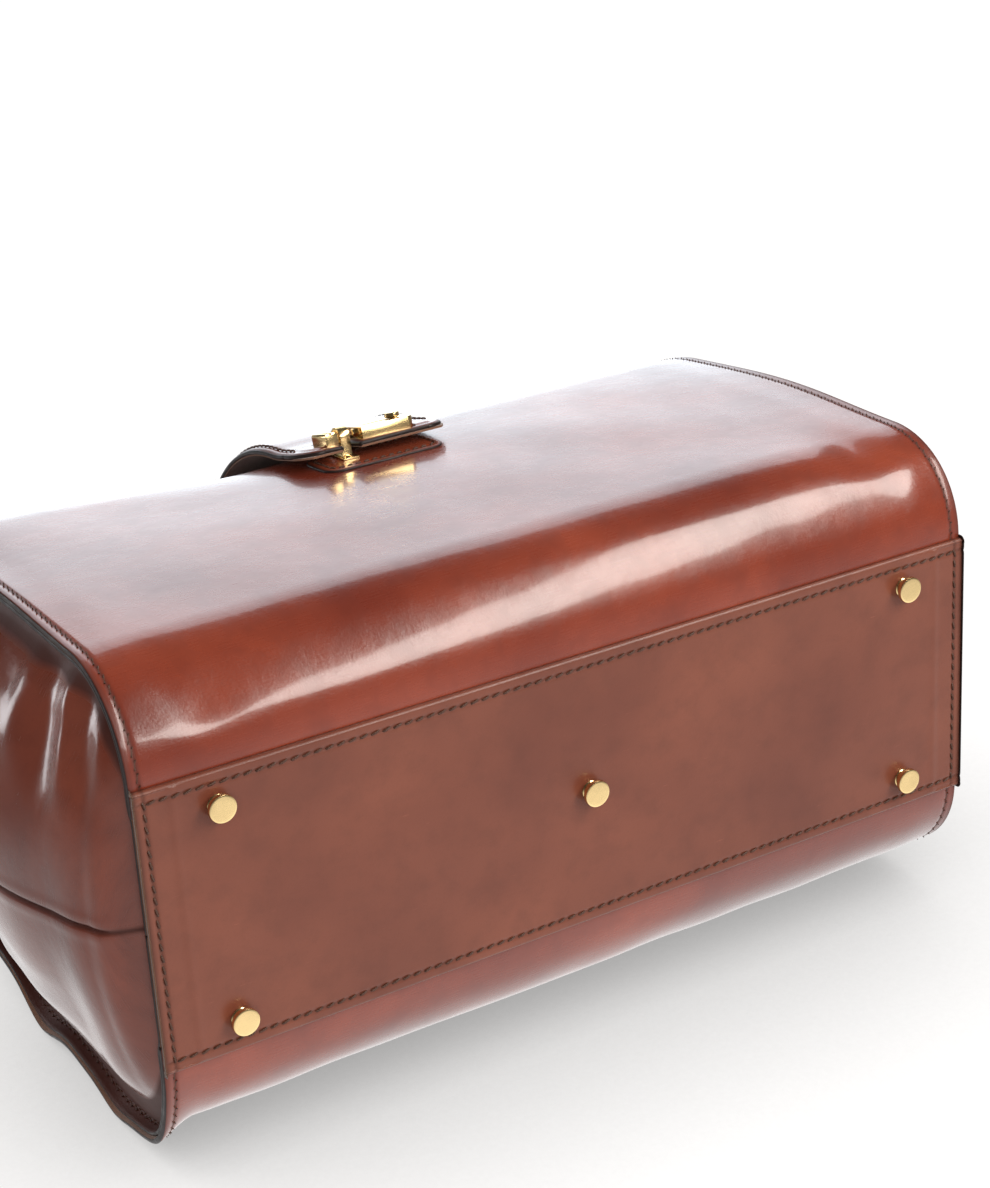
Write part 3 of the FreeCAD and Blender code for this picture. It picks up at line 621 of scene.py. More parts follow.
def base_height(x, y):
    """Outer face of the base leather; it swells slightly and dips at seams and studs."""
    inside = np.minimum(HALF_LENGTH - np.abs(x), HALF_BASE - np.abs(y))
    height = BASE_FACE + 0.12 * soft_waves(x, y, 31, 90) * ramp(inside, 3, 30)
    height = height + 0.4 * bump(np.abs(x), SEAM_X, 0.9) + 0.4 * bump(np.abs(y), BASE_SEAM_Y, 0.9)
    height = height + 0.22 * ramp(np.abs(x), 184, 187.5) - 0.25 * bump(np.abs(x), 184, 1.6)
    for stud_x, stud_y in STUDS:
        height = height + 0.35 * bump(np.hypot(x - stud_x, y - stud_y), 0, 8)
    return height


def base_stations(half, seam, inner, edge_end):
    """Places from edge to edge, fine at the seam and over the rounded fold."""
    edge = np.concatenate([
        np.arange(inner + 0.8, seam - 2.4, 1.0), np.arange(seam - 2.2, seam + 2.2, 0.5),
        np.arange(seam + 2.6, half - edge_end, 0.6),
    ])
    return np.concatenate([-edge[::-1], np.arange(-inner, inner + 0.1, 2.0), edge])


def base():
    """Base leather: painted cut ends, and long edges folded over the body panels."""
    tip = [HALF_LENGTH - 0.3]
    x = np.concatenate([np.negative(tip), base_stations(HALF_LENGTH, SEAM_X, 182, 0.2), tip])
    y = base_stations(HALF_BASE, BASE_SEAM_Y, 50, 1.4)
    flat = base_height(x[:, None], y[None, :])
    grid = np.stack(np.broadcast_arrays(x[:, None], y[None, :], flat), -1)
    fold = 1.5
    turns = np.radians(np.arange(8, 91, 14))
    profile = [(HALF_BASE - fold + fold * math.sin(a), BASE_FACE + fold * (1 - math.cos(a))) for a in turns]
    profile.append((HALF_BASE, BASE_BACK + 0.1))
    front, rear = [
        np.stack([np.stack(np.broadcast_arrays(x, side * reach, up), -1) for reach, up in profile], 1)
        for side in SIDES
    ]
    grid = np.concatenate([front[:, ::-1], grid, rear], 1)
    run = running_length(grid[len(x) // 2])
    uv = np.stack(np.broadcast_arrays(grid[..., 0], run[None, :] + 400), -1)
    far_x, far_y = np.abs(grid[..., 0]), np.abs(grid[..., 1])
    dark = np.maximum(ramp(far_x, HALF_LENGTH - 3, HALF_LENGTH), 0.6 * bump(far_y, BASE_SEAM_Y, 0.8))
    dark = np.maximum(dark * 0.8, 0.6 * bump(far_x, SEAM_X, 0.8))
    piece = leather_sheet("base_leather", grid, 1.3, BASE, uv, dark, flip=True, round_off=0.2)
    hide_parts("base_panel")
    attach(piece, "bag_body")
    for side in SIDES:
        for word, seed, half in ((WORD[side], 41, HALF_LENGTH), (END_WORD[side], 51, HALF_BASE)):
            run = np.arange(-half + 3, half - 3, 1.0)
            x, y = (run, side * BASE_SEAM_Y) if half == HALF_LENGTH else (side * SEAM_X, run)
            line = np.stack(np.broadcast_arrays(x, y, base_height(x, y)), -1)
            down = np.tile([0.0, 0.0, -1.0], (len(run), 1))
            stitches(f"base_{word}_stitches", line, down, seed + side, "bag_body")


# --- gussets ------------------------------------------------------------------------------------
# Centre seam of the gusset: height, distance from the bag's middle.
SEAM_HEIGHTS = (13.2, 18, 29, 50, 81, 115, 150, 180, 203)
SEAM_REACH = (194, 206, 214, 221, 230, 233, 226, 209, 194)
GUSSET_ROOT = 194.0
DOME_DEPTH = 5.1
# Small creases at the front's lower corners: height, how far they stand out, width.
CORNER_CREASES = ((24, 1.6, 4.5), (36, -1.6, 5), (48, 2.2, 5.5), (64, -1.8, 7), (80, 1.6, 8))
# Long folds under the front shoulder: height, how far they stand out, place and width across.
FRONT_FOLDS = ((150, 3.2, -76, 6), (160, -3.0, -62, 8), (165, 2.4, -44, 9), (120, -1.6, -87, 5))


def smooth_interp(value, knots, levels):
    """Monotone-looking interpolation through a few knots."""
    knots, levels = np.array(knots, float), np.array(levels, float)
    slope = np.gradient(levels, knots)
    index = np.clip(np.searchsorted(knots, value, side="right") - 1, 0, len(knots) - 2)
    width = knots[index + 1] - knots[index]
    t = np.clip((value - knots[index]) / width, 0, 1)
    h00, h10 = 2 * t**3 - 3 * t**2 + 1, t**3 - 2 * t**2 + t
    h01, h11 = -2 * t**3 + 3 * t**2, t**3 - t**2
    start = h00 * levels[index] + h10 * width * slope[index]
    return start + h01 * levels[index + 1] + h11 * width * slope[index + 1]


def dome_half(z):
    """Half-depth of the gusset inside its turned edge."""
    lean = HALF_DEPTH - LEAN_RADIUS + np.sqrt(LEAN_RADIUS**2 - np.clip(z - LEAN_START, 0, None) ** 2)
    radius = CORNER_RADIUS - DOME_DEPTH
    drop = np.clip(PANEL_BOTTOM + CORNER_RADIUS - z, 0, radius)
    return np.where(drop > 0, HALF_BASE + np.sqrt(radius**2 - drop**2), lean - DOME_DEPTH)


def gusset_reach(end, y, z):
    """Outer face of the gusset, as a distance from the bag's middle."""
    t = np.clip(np.abs(y) / dome_half(z), 0, 1)
    bulge = smooth_interp(z, SEAM_HEIGHTS, SEAM_REACH) - GUSSET_ROOT
    sag = np.where((y > 0) & (end < 0), 2.4 - 0.9 * ramp(z, 20, 60), 2.4)
    gutter = 1 - 0.85 * bump(1 - t, 0, 0.09)
    reach = GUSSET_ROOT + GUSSET_LEATHER + bulge * (1 - t**sag) * gutter
    free = ramp(1 - t, 0.02, 0.25) * ramp(z, 16, 45)
    reach = reach + free * (1.3 - 0.7 * end) * soft_waves(y, z, 61 + end, 75)
    corner = (y < 0) * ramp(np.abs(y), 38, 70) * ramp(1 - t, 0.015, 0.1)
    for height, lift, width in CORNER_CREASES:
        reach = reach + corner * lift * bump(z + 0.25 * (y + 80), height, width)
    front = (y < 0) * free
    for height, lift, at, width in FRONT_FOLDS:
        reach = reach + front * lift * bump(y, at - (z - height) * 0.18, width) * bump(z, height, 45)
    reach = reach + free * 1.4 * bump(y, 66, 9) * bump(z, 120, 50)
    reach = reach - free * 1.2 * bump(y, 48, 8) * bump(z, 130, 45)
    seam = np.abs(y)
    return reach + ramp(z, 14, 24) * (0.3 * bump(seam, 4.0, 2.4) - 1.5 * bump(seam, 0, 1.0))


def rim_depth(s):
    """How deep the gusset's turned edge lies: under the base leather, then under the panel."""
    return 0.3 + 2.5 * ramp(s, 46, 54)


def turned_edge(end, side, s, stations, depth):
    """Columns of points from the turned edge's cut end inwards.

    A station is a distance from the bag's middle and what it adds to the depth."""
    return np.stack([skin(side, np.full(len(s), end * x), s, depth + extra) for x, extra in stations], 1)


def gusset_half(end, side, s):
    """Grid rows for one half, from the turned edge's cut end to the centre seam."""
    stations = [(HALF_LENGTH - 0.5, 0), (HALF_LENGTH - 2, 0)]
    stations += [(SEAM_X + 0.8, 0), (SEAM_X - 0.2, 0.02), (SEAM_X - 1.0, 0.25)]
    cut = turned_edge(end, side, s, stations, rim_depth(s) + GUSSET_LEATHER)
    y, z, normal_y, normal_z = outline_at(s)
    depth = DOME_DEPTH + 0.2 - flange_wave(side, np.full(len(s), end * HALF_LENGTH), s) * 0.2
    edge_y, edge_z = y - normal_y * depth, z - normal_z * depth
    seam_z = np.interp(s, [0, 61, S_CORNER, S_TOP], [13.4, 24, 56, WALL_TOP])
    share = np.concatenate([
        np.linspace(0.004, 0.06, 5), np.linspace(0.08, 0.9, 30), np.linspace(0.915, 0.97, 6),
        np.linspace(0.974, 1.0, 9),
    ])
    row_y = edge_y[:, None] * (1 - share)
    row_z = np.maximum(edge_z[:, None] * (1 - share) + seam_z[:, None] * share, SEAM_HEIGHTS[0] + 0.1)
    reach = gusset_reach(end, side * row_y, row_z)
    return np.concatenate([cut, np.stack([end * reach, side * row_y, row_z], -1)], 1)


def gusset(end):
    """Gusset: two pieces joined at a centre seam, bulging between turned edges."""
    word = END_WORD[end]
    s = np.concatenate([
        np.linspace(0.5, 60, 30), np.linspace(62, S_CORNER, 36), np.linspace(S_CORNER + 2, S_TOP, 76),
    ])
    for side in SIDES:
        rows = [gusset_half(end, side, s)]
        turned = 5      # columns of the turned edge, which don't fold in at the top
        for drop, inwards in ((1.2, 0.7), (1.9, 2.0), (1.4, 3.4), (-1.0, 4.2)):
            row = rows[0][-1:].copy()
            row[..., 2] += drop
            row[0, turned:, 0] -= end * inwards
            rows.append(row)
        grid = np.concatenate(rows, 0)
        run = np.array([running_length(row) for row in grid])
        rise = np.concatenate([s, S_TOP + np.array([2, 4, 6, 8])])
        uv = np.stack([side * (run - run[:, -1:]) + 300 * end, np.broadcast_to(rise[:, None], run.shape)], -1)
        dark = 0.95 * bump(np.abs(grid[..., 1]), 0, 1.4)
        # The turned edge and the gutter beside the flange are darkened: partly burnish and dirt, partly
        # painted shade of the narrow pocket under the flange.
        dark[:, :11] = 0.9
        name, flip = f"{word}_gusset_{WORD[side]}", side * end < 0
        piece = leather_sheet(name, grid, GUSSET_LEATHER, GUSSET, uv, dark, flip=flip, round_off=0.3)
        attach(piece, "bag_body")
        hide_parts(word + "_gusset")
        seam_s = np.arange(2, S_TOP, 0.5)
        seam_x = np.full(len(seam_s), end * SEAM_X)
        line = skin(side, seam_x, seam_s, rim_depth(seam_s) + GUSSET_LEATHER)
        inwards = -skin_normal(side, seam_x, seam_s)
        stitches(f"{word}_rim_stitches_{WORD[side]}", line, inwards, 71 + end + side, "bag_body")


def gable(end, side):
    """Gusset leather above the hinge pins, tucked behind the gusset's folded top."""
    s = np.concatenate([[S_TOP - 6, S_TOP - 3], np.linspace(S_TOP, S_END - 4, 60)])
    stations = ((HALF_LENGTH - 0.5, 0), (HALF_LENGTH - 2.5, 0), (SEAM_X, 0.02), (SEAM_X - 2, 0.3))
    cut = turned_edge(end, side, s, stations, LEATHER + 0.3 + GUSSET_LEATHER)
    y, z, normal_y, normal_z = outline_at(s)
    edge_y, edge_z = y - normal_y * (DOME_DEPTH + 0.4), z - normal_z * (DOME_DEPTH + 0.4)
    inner_y = 0.8
    inner_z = np.interp(s, [S_TOP - 6, S_END - 4], [WALL_TOP - 7, edge_z[-1] - 0.6])
    share = np.linspace(0, 1, 26)[None, :]
    row_y = edge_y[:, None] * (1 - share) + inner_y * share
    row_z = edge_z[:, None] * (1 - share) + inner_z[:, None] * share
    pinch = (1 - np.clip(row_y / 95, 0, 1) ** 1.6) * (1 - 0.5 * ramp(row_z, 240, 275))
    reach = 192.6 - 3.4 * pinch - 2.2 * (1 - ramp(row_z, WALL_TOP - 4, WALL_TOP + 14))
    reach = reach + 0.5 * soft_waves(row_y, row_z, 81 + end, 50) * ramp(share, 0.05, 0.3)
    grid = np.concatenate([cut, np.stack([end * reach, side * row_y, row_z], -1)], 1)
    run = np.array([running_length(row) for row in grid])
    uv = np.stack([side * run + 300 * end, np.broadcast_to(s[:, None], run.shape)], -1)
    dark = np.zeros(run.shape)
    # The turned edge and the first columns beside the flange are darkened as on the gusset halves: partly
    # burnish and dirt, partly painted shade of the narrow pocket under the flange.
    dark[:, :6] = 0.7
    name, flip = f"{END_WORD[end]}_gusset_top_{WORD[side]}", side * end < 0
    piece = leather_sheet(name, grid, 1.6, GUSSET, uv, dark, flip=flip, round_off=0.3)
    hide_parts(END_WORD[end] + "_gusset_top")
    bend(piece)


# --- frame --------------------------------------------------------------------------------------
def rounded_section(low, high, radius, steps=6):
    """Closed outline of a box with rounded corners, in two coordinates."""
    corners = [(high[0], high[1], 0), (low[0], high[1], 90), (low[0], low[1], 180), (high[0], low[1], 270)]
    points = []
    for u, v, start in corners:
        centre_u = u - math.copysign(radius, u - (low[0] + high[0]) / 2)
        centre_v = v - math.copysign(radius, v - (low[1] + high[1]) / 2)
        for k in range(steps + 1):
            angle = math.radians(start + 90 * k / steps)
            points.append((centre_u + radius * math.cos(angle), centre_v + radius * math.sin(angle)))
    return np.array(points)


def loft(name, rings, material):
    """A closed skin through rings of points that all have the same number of points."""
    rings = np.asarray(rings, float)
    count, size = rings.shape[:2]
    around, along = running_length(rings[count // 2]), running_length(rings.mean(1))
    uv = np.stack(np.broadcast_arrays(along[:, None], around[None, :] + 50), -1).reshape(-1, 2)
    points = np.concatenate([rings.reshape(-1, 3), rings[:1].mean(1), rings[-1:].mean(1)])
    uv = np.concatenate([uv, uv[:1], uv[-1:]])
    sides = [(k, (k + 1) % size) for k in range(size)]
    starts = [r * size for r in range(count)]
    faces = [(a + k, a + after, b + after, b + k) for a, b in zip(starts, starts[1:]) for k, after in sides]
    for k, after in sides:
        faces += [(count * size, after, k), (count * size + 1, starts[-1] + k, starts[-1] + after)]
    piece = mesh_piece(name, points, faces, [material], uv=uv, dark=np.zeros(len(points)))
    fix_normals(piece)
    return piece


def frame_wrap(side):
    """Leather sleeve round a frame bar, with rounded ends and a stitched edge."""
    word = WORD[side]
    low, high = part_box(word + "_frame_cover")
    near, far = sorted((abs(low.y) / MM, abs(high.y) / MM))
    corner = 2.6
    section = rounded_section((near, low.z / MM), (far, high.z / MM), corner)
    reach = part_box(word + "_frame")[1].x / MM + 1.4
    stations = [-reach, -reach + 0.4, -reach + 1.2, *np.linspace(-reach + 3, reach - 3, 120)]
    stations += [reach - 1.2, reach - 0.4, reach]
    centre = section.mean(0)
    rings = []
    for x in stations:
        shrink = 1 - 0.35 * (1 - ramp(reach - abs(x), -0.8, corner))
        swell = 1 + 0.012 * math.sin(x / 17)
        ring = (section - centre) * shrink * swell + centre
        rings.append(np.stack([np.full(len(ring), x), side * ring[:, 0], ring[:, 1]], -1))
    piece = loft(word + "_frame_wrap", rings, TRIM)
    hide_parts(word + "_frame_cover")
    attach(piece, HALF_OF[side])
    run = np.arange(-reach + 6, reach - 6, 1.0)
    line = np.stack(np.broadcast_arrays(run, side * (far - corner), high.z / MM), -1)
    up = np.tile([0.0, 0.0, 1.0], (len(run), 1))
    stitches(word + "_wrap_stitches", line, up, 91 + side, HALF_OF[side], pitch=4.4)


# --- hardware -----------------------------------------------------------------------------------
def refined(node, material, width=0.25):
    """The CAD node's own shape with its sharp edges eased, for a part that catches the light."""
    source = frame["nodes"][node]
    mesh = bmesh.new()
    mesh.from_mesh(source.data)
    bmesh.ops.remove_doubles(mesh, verts=mesh.verts, dist=2e-6)
    bmesh.ops.dissolve_limit(mesh, angle_limit=math.radians(2), verts=mesh.verts, edges=mesh.edges)
    sharp = [e for e in mesh.edges if len(e.link_faces) == 2 and e.calc_face_angle() > math.radians(35)]
    bmesh.ops.bevel(
        mesh, geom=sharp, offset=width * MM, segments=2, profile=0.6, affect="EDGES", clamp_overlap=True,
    )
    bmesh.ops.triangulate(mesh, faces=[f for f in mesh.faces if len(f.verts) > 4])
    for face in mesh.faces:
        face.smooth = True
    data = bpy.data.meshes.new(node + "_fine")
    mesh.to_mesh(data)
    mesh.free()
    data.materials.clear()
    data.materials.append(material)
    piece = add_object(node + "_fine", data)
    data.set_sharp_from_angle(angle=math.radians(28))
    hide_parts(node)
    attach(piece, source["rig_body"])


STUD_RADIUS = 5.8
# A stud's outline: radius and height above the floor.
STUD_PROFILE = (
    (0.4, 0.0), (3.2, 0.0), (4.9, 0.0),
    (STUD_RADIUS - 0.45, 0.03), (STUD_RADIUS - 0.12, 0.17), (STUD_RADIUS, 0.5),
    (STUD_RADIUS, 1.8), (STUD_RADIUS - 0.15, 2.1), (STUD_RADIUS - 0.5, 2.25),
    (4.2, 2.3), (3.9, 2.6), (3.9, 4.6),
    (4.3, 4.95), (4.3, 5.4), (1.5, 5.5), (1.5, 12.0),
)


def studs():
    """Turned feet: a flat disc with eased edges, and a collar."""
    turn = np.linspace(0, math.tau, 72, endpoint=False)
    for index, (x, y) in enumerate(STUDS):
        rings = [
            np.stack(np.broadcast_arrays(x + radius * np.cos(turn), y + radius * np.sin(turn), height), -1)
            for radius, height in STUD_PROFILE
        ]
        piece = loft(f"stud_{index}", rings, BRASS)
        piece.data.set_sharp_from_angle(angle=math.radians(40))
        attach(piece, "bag_body")
        if index == 0:
            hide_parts("base_studs")


def hardware():
    studs()
    for node in (
        "handle_brackets", "handle_rings", "tab_bar", "lock_staple", "lock_plate", "lock_keeper", "bolt_knob",
        "lock_bolt",
    ):
        refined(node, BRASS)
    for node in ("bracket_rivets", "staple_rivets", "lock_rivets", "hinge_pins", "hinge_washers"):
        refined(node, BRASS, width=0.15)
    for node in ("front_frame", "rear_frame"):
        refined(node, STEEL, width=0.4)
    carried_over = {
        "base_board": BOARD, "stud_washers": BRASS, "lining": LINING,
        "pin_anchors": TRIM, "handle_core": ROPE,
        "tab_backing": FLESH,
    }
    for node, material in carried_over.items():
        data = frame["nodes"][node].data
        data.materials.clear()
        data.materials.append(material)


# --- handle -------------------------------------------------------------------------------------
HANDLE_ARC = 68.9
HANDLE_Y = (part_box("handle_grip")[0].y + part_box("handle_grip")[1].y) / 2 / MM
GRIP_RADIUS = (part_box("handle_grip")[1].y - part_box("handle_grip")[0].y) / 2 / MM
HANDLE_CENTRE_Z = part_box("handle_grip")[1].z / MM - GRIP_RADIUS - HANDLE_ARC
LOOP_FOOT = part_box("handle_ends")[0].z / MM
LOOP_HALF_X, LOOP_HALF_Y = 6.5, 5.5
LOOP_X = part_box("handle_ends")[1].x / MM - LOOP_HALF_X
GRIP_START = math.radians(18)
GRIP_SIDES = 40
GRIP_SEAM = math.radians(146)       # round the grip, from the outside of its curve


def grip_radius(share):
    """Radius along the grip, from 0 at one end to 1 at the other: it tapers and rounds off at its ends."""
    end = min(share, 1 - share)
    taper = 0.70 + 0.30 * float(ramp(end, 0, 0.16))
    return GRIP_RADIUS * taper * (1 - 0.25 * (1 - float(ramp(end, 0, 0.012))))


def on_grip(angle):
    """Direction away from the handle's centre, and the grip's middle there."""
    radial = np.array([math.cos(angle), 0, math.sin(angle)])
    return radial, np.array([0, HANDLE_Y, HANDLE_CENTRE_Z]) + radial * HANDLE_ARC


def handle_grip():
    """Rolled leather grip, tapering to its ends, sewn along the inside of the curve."""
    angles = np.linspace(GRIP_START, math.pi - GRIP_START, 90)
    radii = [grip_radius(index / (len(angles) - 1)) for index in range(len(angles))]
    rings = []
    for index, angle in enumerate(angles):
        radius = radii[index] * (1 + 0.008 * math.sin(index * 0.9))
        radial, centre = on_grip(angle)
        ring = []
        for k in range(GRIP_SIDES):
            turn = math.tau * k / GRIP_SIDES
            reach = radius * (1.05 if math.cos(turn) < -0.93 else 1.0)
            width = radius * math.sin(turn) * (0.96 if math.cos(turn) < -0.75 else 1)
            ring.append(centre + radial * reach * math.cos(turn) + np.array([0, width, 0]))
        rings.append(ring)
    grip = loft("grip_leather", rings, TRIM)
    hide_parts("handle_grip")
    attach(grip, "handle")
    for side in SIDES:
        line, normal = [], []
        for angle, radius in list(zip(angles, radii))[5:-5]:
            radial, centre = on_grip(angle)
            around = radial * math.cos(GRIP_SEAM) + np.array([0, side * math.sin(GRIP_SEAM), 0])
            line.append(centre + around * (radius * 0.975 - 0.25))
            normal.append(around)
        name = f"grip_stitches_{WORD[side]}"
        stitches(name, np.array(line), np.array(normal), 101 + side, "handle", pitch=4.2)


def handle_ends():
    """Leather loops that hold the rings, narrower at the ring and widening into the grip."""
    section = rounded_section((-1.0, -1.0), (1.0, 1.0), 0.55)
    for end in SIDES:
        foot = np.array([end * LOOP_X, HANDLE_Y, LOOP_FOOT])
        grip_foot = on_grip(GRIP_START)[1] * (end, 1, 1)
        rings = []
        for t in np.linspace(0, 1, 15):
            place = foot * (1 - t) + grip_foot * t
            place[2] = LOOP_FOOT + (grip_foot[2] + 1.0 - LOOP_FOOT) * t
            close = 0.62 + 0.38 * float(ramp(t, 0, 0.12))
            half_x, half_y = LOOP_HALF_X * close * (1 - 0.08 * t), LOOP_HALF_Y * close * (1 + 0.12 * t)
            rings.append([place + np.array([u * half_x, v * half_y, 0]) for u, v in section])
        piece = loft(f"handle_loop_{END_WORD[end]}", rings, TRIM)
        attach(piece, "handle")
        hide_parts("handle_ends")


# --- closing tab and lock patch -----------------------------------------------------------------
LOCK_HEIGHT = 180.0
PATCH_LEAN = math.asin((LOCK_HEIGHT - LEAN_START) / LEAN_RADIUS)
LOCK_LEAN = PATCH_LEAN + math.radians(9.0)
STAPLE_X = -13.0
TAB_HALF = (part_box("closing_tab")[1].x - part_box("closing_tab")[0].x) / 2 / MM
TAB_INNER = 2.1             # the tab's inner face, out from the wall
TAB_THICKNESS = 3.0
TAB_CORNER = 14.0
TAB_BEND_RADIUS = 60.0
TAB_END = -10.0             # the tab's lower end, down from the bolt's axis
TAB_LEVEL = 284.6           # the tab's inner face on top of the bag
BOLT_OUT = 8.1
NOTCH = STAPLE_X - 4.6, STAPLE_X + 4.6
NOTCH_LENGTH = 19.6
PATCH_FACE = 1.8
PATCH_HALF = 30.0
PATCH_LOW, PATCH_HIGH = -20.0, 8.6
PATCH_CORNER = 8.0


def outward(lean):
    return np.array([math.cos(lean), math.sin(lean)])


def downward(lean):
    return np.array([math.sin(lean), -math.cos(lean)])


# Rear-side places (y, z): the patch's middle on the wall, and where the tab leaves the wall's lean.
PATCH_ORIGIN = np.array([HALF_DEPTH - LEAN_RADIUS * (1 - math.cos(PATCH_LEAN)), LOCK_HEIGHT])
TAB_BEND_TOP = PATCH_ORIGIN + outward(PATCH_LEAN) * TAB_INNER
TAB_BEND_TOP = TAB_BEND_TOP - downward(PATCH_LEAN) * (WALL_TOP - LOCK_HEIGHT)
TAB_BEND_CENTRE = TAB_BEND_TOP + outward(PATCH_LEAN) * TAB_BEND_RADIUS
TAB_BEND_END = TAB_BEND_CENTRE - outward(LOCK_LEAN) * TAB_BEND_RADIUS
BOLT_SPOT = TAB_BEND_END + outward(LOCK_LEAN) * (BOLT_OUT - TAB_INNER)
BOLT_SHORT = (PATCH_ORIGIN - BOLT_SPOT) @ downward(PATCH_LEAN) / (downward(LOCK_LEAN) @ downward(PATCH_LEAN))
LOCK_ORIGIN = TAB_BEND_END + downward(LOCK_LEAN) * BOLT_SHORT - outward(LOCK_LEAN) * TAB_INNER


def front_point(origin, lean, x, out, up):
    """Point in a frame on the front: along the bag, out from the wall or tab, up along it."""
    y = origin[0] + out * math.cos(lean) - up * math.sin(lean)
    z = origin[1] + out * math.sin(lean) + up * math.cos(lean)
    return np.stack(np.broadcast_arrays(np.asarray(x, float), -y, z), -1)


def patch_point(x, out, up):
    return front_point(PATCH_ORIGIN, PATCH_LEAN, x, out, up)


def rounded_half(half, inside, corner):
    """Half-width of a strip with rounded corners, at a distance inside its end."""
    if inside >= corner:
        return half
    return half - corner + math.sqrt(max(corner**2 - (corner - inside) ** 2, 0))


def tab_line():
    """Inner face of the tab in the YZ plane, from the bar down to its lower end."""
    radius = (TAB_LEVEL - TAB_BEND_TOP[1]) / (1 - math.sin(PATCH_LEAN))
    centre = TAB_BEND_TOP - outward(PATCH_LEAN) * radius
    points = [(-6.3, TAB_LEVEL)] + [(y, TAB_LEVEL) for y in np.linspace(-5, centre[0], 12)][:-1]
    points += arc_points(*centre, radius, math.pi / 2, PATCH_LEAN, 70)
    points += arc_points(*TAB_BEND_CENTRE, TAB_BEND_RADIUS, math.pi + PATCH_LEAN, math.pi + LOCK_LEAN, 12)[1:]
    low = front_point(LOCK_ORIGIN, LOCK_LEAN, 0, TAB_INNER, TAB_END)
    points.append((-low[1], low[2]))
    return np.array(points)


def tab():
    """Padded closing tab with a rounded lower end, an open notch for the staple and stitched edges."""
    line = tab_line()
    length = running_length(line)
    total = length[-1]
    tangent = unit(np.gradient(line, length, axis=0))
    stations = np.concatenate([np.linspace(1.0, total - 16, 90), np.linspace(total - 15, total - 0.4, 26)])
    notch_left, notch_right = NOTCH
    notch_start = total - NOTCH_LENGTH

    def half_width(t):
        return rounded_half(TAB_HALF, total - t, TAB_CORNER)

    def point(x, t, depth):
        y, z = np.interp(t, length, line[:, 0]), np.interp(t, length, line[:, 1])
        normal_y, normal_z = -np.interp(t, length, tangent[:, 1]), np.interp(t, length, tangent[:, 0])
        return np.array([x, -(y + normal_y * depth), z + normal_z * depth])

    def crown(edge):
        """Padding, at a distance from the edge, with a groove under the stitches."""
        padding, groove = 0.9 * float(ramp(edge, 0.4, 7)), 0.45 * float(bump(edge, 4.0, 0.8))
        return padding - groove - 0.5 * (1 - float(ramp(edge, 0, 1.6)))

    def strip(name, left_of, right_of, places, columns):
        rows, dark, uv = [], [], []
        for t in places:
            left, right = left_of(t), right_of(t)
            xs = left + (right - left) * (0.5 - 0.5 * np.cos(np.linspace(0, math.pi, columns)))
            edges = [min(x - left, right - x, total - t) for x in xs]
            rows.append([point(x, t, TAB_THICKNESS + crown(edge)) for x, edge in zip(xs, edges)])
            dark.append([0.9 * (1 - float(ramp(edge, 0, 2.4))) for edge in edges])
            uv.append([(x, t + 700) for x in xs])
        sheet = TAB_THICKNESS - 0.9
        piece = leather_sheet(name, np.array(rows), sheet, TRIM, np.array(uv), np.array(dark), round_off=0.9)
        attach(piece, "tab")
        return piece

    def sew(name, places, seed):
        """Stitches through places (x, t) on the tab's face."""
        seam = np.array([point(x, t, TAB_THICKNESS + 0.45) for x, t in places])
        across = [[0, *(np.interp(t, length, tangent[:, part]) for part in (1, 0))] for _, t in places]
        stitches(name, seam, np.array(across), seed, "tab", pitch=4.4)

    main_rows = [t for t in stations if t < notch_start] + [notch_start]
    upper = strip("tab_upper", lambda t: -half_width(t), half_width, main_rows, 60)
    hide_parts("closing_tab")
    lower_rows = [notch_start - 0.6] + [t for t in stations if t > notch_start + 0.6]
    strip("tab_end_right", lambda t: notch_right, half_width, lower_rows, 40)
    strip("tab_end_left", lambda t: -half_width(t), lambda t: notch_left, lower_rows, 24)

    inset = 4.0
    for side in SIDES:
        edge = side * (TAB_HALF - inset)
        places = [(edge, t) for t in np.arange(8, total - TAB_CORNER, 0.6)]
        sew(f"tab_stitches_{END_WORD[side]}", places, 111 + side)
    run = np.arange(notch_right + inset, TAB_HALF - TAB_CORNER, 0.6)
    sew("tab_end_stitches", [(x, total - inset) for x in run], 114)


